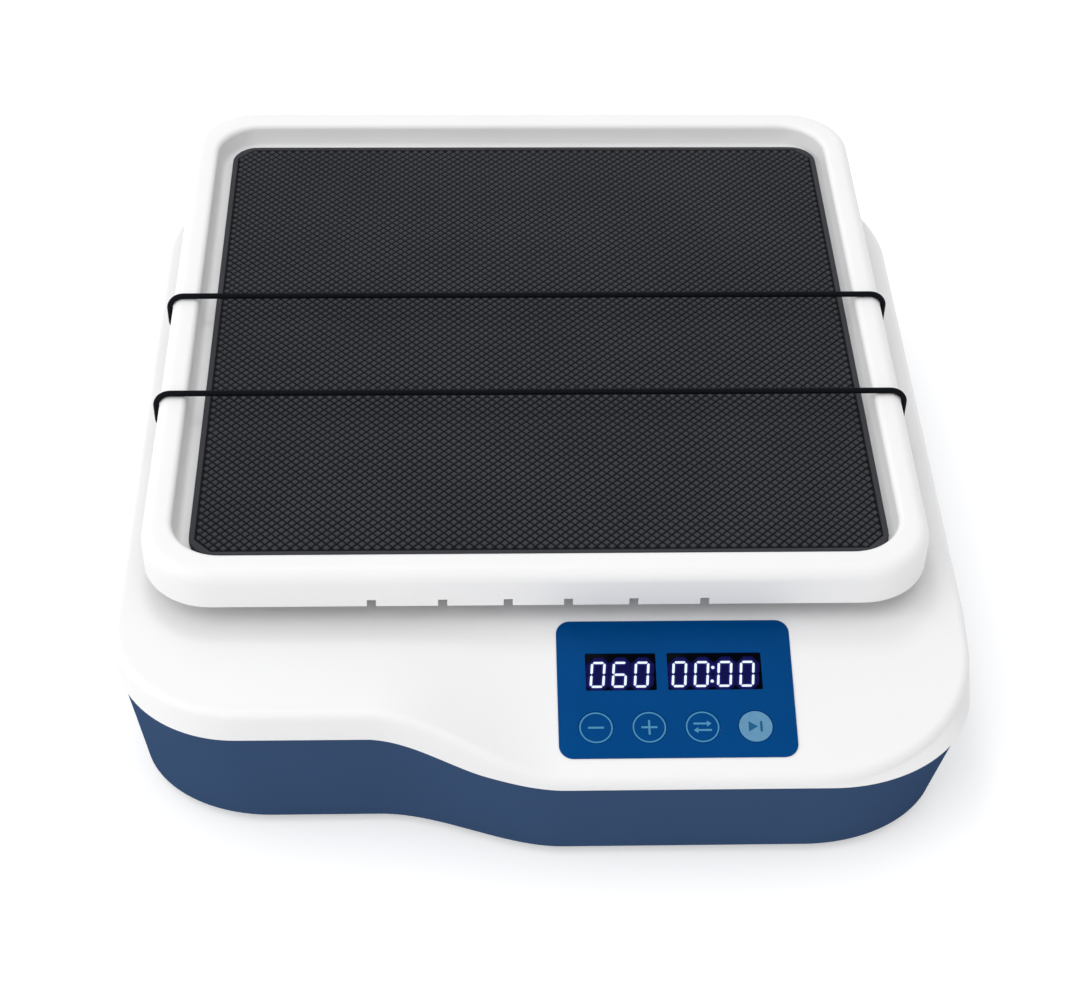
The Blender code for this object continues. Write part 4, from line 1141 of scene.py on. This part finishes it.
def make_inlet(edge=0.0005, lip=0.0004):
    """The low-voltage inlet: a flange with a rounded rim, a bore and its centre pin."""
    low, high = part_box("power_inlet")
    place = on_rear_wall("power_inlet")
    radius = (high.x - low.x) / 2
    face = high.y - tub_high.y
    under = face - inlet_flange_thickness
    back = low.y - tub_high.y
    bottom = face - inlet_bore_depth
    profile = [(0, bottom), (inlet_bore_radius, bottom),
               (inlet_bore_radius, face - lip), (inlet_bore_radius + lip, face)]
    profile += quarter(edge, edge, radius - edge, face - edge, 90)
    profile += [(radius, under), (inlet_barrel_radius, under),
                (inlet_barrel_radius, back + edge), (inlet_barrel_radius - edge, back), (0, back)]
    seat(shown("inlet_body", turned(profile, 64), black_plastic, place), "base",
         "black_plastic", "power_inlet")
    tip = inlet_pin_radius / 2
    front = face - inlet_pin_depth
    pin = turned([(0, front), (tip, front), (inlet_pin_radius, front - tip),
                  (inlet_pin_radius, bottom - lip), (0, bottom - lip)], 24)
    seat(shown("inlet_pin", pin, ground_steel, place), "base", "machined_steel")


def crisp(edge):
    return edge.calc_face_angle(0) > radians(35)


def make_switch(room=0.0005, round_off=1.5):
    """The rocker switch: a flanged housing and a rocker with plain bar and ring marks."""
    low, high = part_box("switch_housing")
    place = on_rear_wall("switch_housing")
    face = high.y - tub_high.y
    flange = plate([rounded_rect(high.x - low.x, high.z - low.z, switch_corner)],
                   face - switch_flange_thickness, face)
    soften(flange, lambda edge: crisp(edge) and min(vert.co.z for vert in edge.verts)
           > face - clearance, switch_edge)
    housing = shown("switch_frame", flange, black_plastic, place)
    rear = block((switch_body.x, switch_body.z, switch_body.y), switch_body_edge,
                 (0, 0, low.y - tub_high.y + switch_body.y / 2))
    opening = 2 * (rocker_radius + room)
    way = block((opening, rocker_height + clearance, opening), clearance, (0, 0, face))
    combined(housing, [("UNION", rear, place), ("DIFFERENCE", way, place)])
    seat(housing, "base", "black_plastic", "switch_housing")

    pivot = Vector((place.translation.x, high.y - rocker_dish, place.translation.z))
    place = Matrix.Translation(pivot) @ Matrix.Rotation(rocker_tilt, 4, "Z")
    profile = [spot for spot, _ in arc(0, 0, Vector((rocker_radius, rocker_radius)), 180, 360, 40)]
    profile += [Vector((share * rocker_radius, -rocker_dish * (1 - abs(share) ** round_off)))
                for share in (0.7, 0.4, 0.15, 0.0, -0.15, -0.4, -0.7)]
    bm = plate([profile], -rocker_height / 2, rocker_height / 2)
    soften(bm, lambda edge: crisp(edge) and edge.calc_length() < rocker_height / 2, rocker_edge)
    seat(shown("rocker_cap", bm, black_plastic, place), "rocker", "black_plastic", "power_rocker")
    depth = -rocker_dish * (1 - 0.5 ** round_off)
    marks = (("bar", -1, [rounded_rect(*rocker_bar)]),
             ("ring", 1, [circle(radius, steps=32) for radius in rocker_ring]))
    for name, side, shapes in marks:
        mark = plate(shapes, -2 * print_thickness, 2 * print_thickness)
        spot = (Matrix.Translation((side * rocker_radius / 2, depth, 0))
                @ Matrix.Rotation(-pi / 2, 4, "X")
                @ Matrix.Rotation(-side * rocker_dish / rocker_radius, 4, "Y"))
        seat(shown("rocker_" + name, mark, white_ink, place @ spot), "rocker", "black_plastic")


def make_posts(chamfer=0.0005):
    """The round posts that carry the tray through the deck."""
    for name in corner_names:
        low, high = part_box("tray_post_" + name)
        profile = [(0, high.z), (post_radius - chamfer, high.z), (post_radius, high.z - chamfer),
                   (post_radius, low.z + chamfer), (post_radius - chamfer, low.z), (0, low.z)]
        stand_in("post_" + name, "tray_post_" + name, profile, machined_aluminium, "carriage",
                 "machined_aluminium")


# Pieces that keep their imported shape

kept_looks = {
    "machined_steel": ground_steel,
    "machined_aluminium": machined_aluminium,
    "zinc_steel": zinc_plate,
    "black_plastic": black_plastic,
    "belt_rubber": foot_rubber,
    "circuit_board": board_green,
}


def dress_kept_nodes():
    slots = {part["node"]: part["material_slot"] for part in frame["record"]["subparts"]}
    for name, node in nodes.items():
        if not node.hide_render:
            node.data.materials.clear()
            node.data.materials.append(kept_looks[slots[name]])


# Stage

def add_camera(lens=77.31, place=(-0.02903, -0.71115, 0.68616), right=2.416, down=43.468,
               roll=1.326):
    """The photograph's camera: its lens in mm, and its turns in degrees."""
    data = bpy.data.cameras.new("camera")
    data.sensor_width = 36.0
    data.lens = lens
    data.clip_start = 0.05
    data.clip_end = 50.0
    camera = bpy.data.objects.new("camera", data)
    camera.matrix_world = (Matrix.Translation(place)
                           @ Matrix.Rotation(-radians(right), 4, "Z")
                           @ Matrix.Rotation(pi / 2 - radians(down), 4, "X")
                           @ Matrix.Rotation(radians(roll), 4, "Z"))
    bpy.context.scene.collection.objects.link(camera)
    bpy.context.scene.camera = camera


def add_lamp(name, azimuth, elevation, distance, size, power):
    """A soft square lamp that faces the shaker. Azimuth 0 is straight in front of it."""
    data = bpy.data.lights.new(name, "AREA")
    data.size = size
    data.energy = power
    lamp = bpy.data.objects.new(name, data)
    turn, rise = radians(azimuth), radians(elevation)
    back = Vector((sin(turn) * cos(rise), -cos(turn) * cos(rise), sin(rise)))
    lamp.location = Vector((0, 0, 0.05)) + back * distance
    lamp.rotation_euler = (-back).to_track_quat("-Z", "Y").to_euler()
    bpy.context.scene.collection.objects.link(lamp)


def sees_background(graph):
    """1 for rays that show the background: from the camera, off gloss and through glass."""
    total = graph.node("LightPath", output="Is Camera Ray")
    for name in ("Is Glossy Ray", "Is Transmission Ray"):
        total = graph.math("ADD", total, graph.node("LightPath", output=name), use_clamp=True)
    return total


def add_world(ambient=0.885, lean=0.30):
    """Pale light, stronger from the left, which looks white to the camera."""
    sky = Graph("studio", "worlds", "Background", color=(1, 1, 1, 1))
    across = sky.node("SeparateXYZ", (), {0: sky.node("TexCoord")})
    side = sky.node("MapRange", (), {"Value": across, "From Min": -1, "From Max": 1,
                                     "To Min": ambient + lean, "To Max": ambient - lean})
    sky.set("Strength", sky.node("Mix", (), {0: sees_background(sky), 2: side, 3: 1.0}))
    bpy.context.scene.world = sky.owner


def add_floor(half_size=4.0):
    """A pale floor that keeps the shaker's shadow and is clear from below."""
    bm = bmesh.new()
    bmesh.ops.create_grid(bm, x_segments=1, y_segments=1, size=half_size)
    look = Graph("floor", base_color=(0.84, 0.84, 0.84, 1.0), roughness=0.9,
                 specular_ior_level=0.0, emission_color=(0.38, 0.38, 0.38, 1.0))
    look.set("Emission Strength", sees_background(look))
    from_below = look.node("NewGeometry", output="Backfacing")
    mix = look.node("MixShader", (), {0: from_below, 1: Value(look, look.shader.outputs[0]),
                                      2: look.node("BsdfTransparent")})
    look.feed(look.tree.nodes["Material Output"].inputs["Surface"], mix)
    shown("floor", bm, look.owner)


add_camera()
for cord_name, cord_y in cord_places.items():
    make_cord(cord_name, cord_y)
make_cover()
make_tub()
make_tray()
make_mat()
make_film()
make_displays()
make_keys()
make_feet()
make_screws()
make_inlet()
make_switch()
make_posts()
dress_kept_nodes()
add_lamp("key", azimuth=200, elevation=70, distance=1.6, size=0.30, power=2.3)
add_lamp("fill", azimuth=-50, elevation=48, distance=2.0, size=1.6, power=6.6)
add_world()
add_floor()
bpy.context.scene.view_settings.view_transform = "Standard"
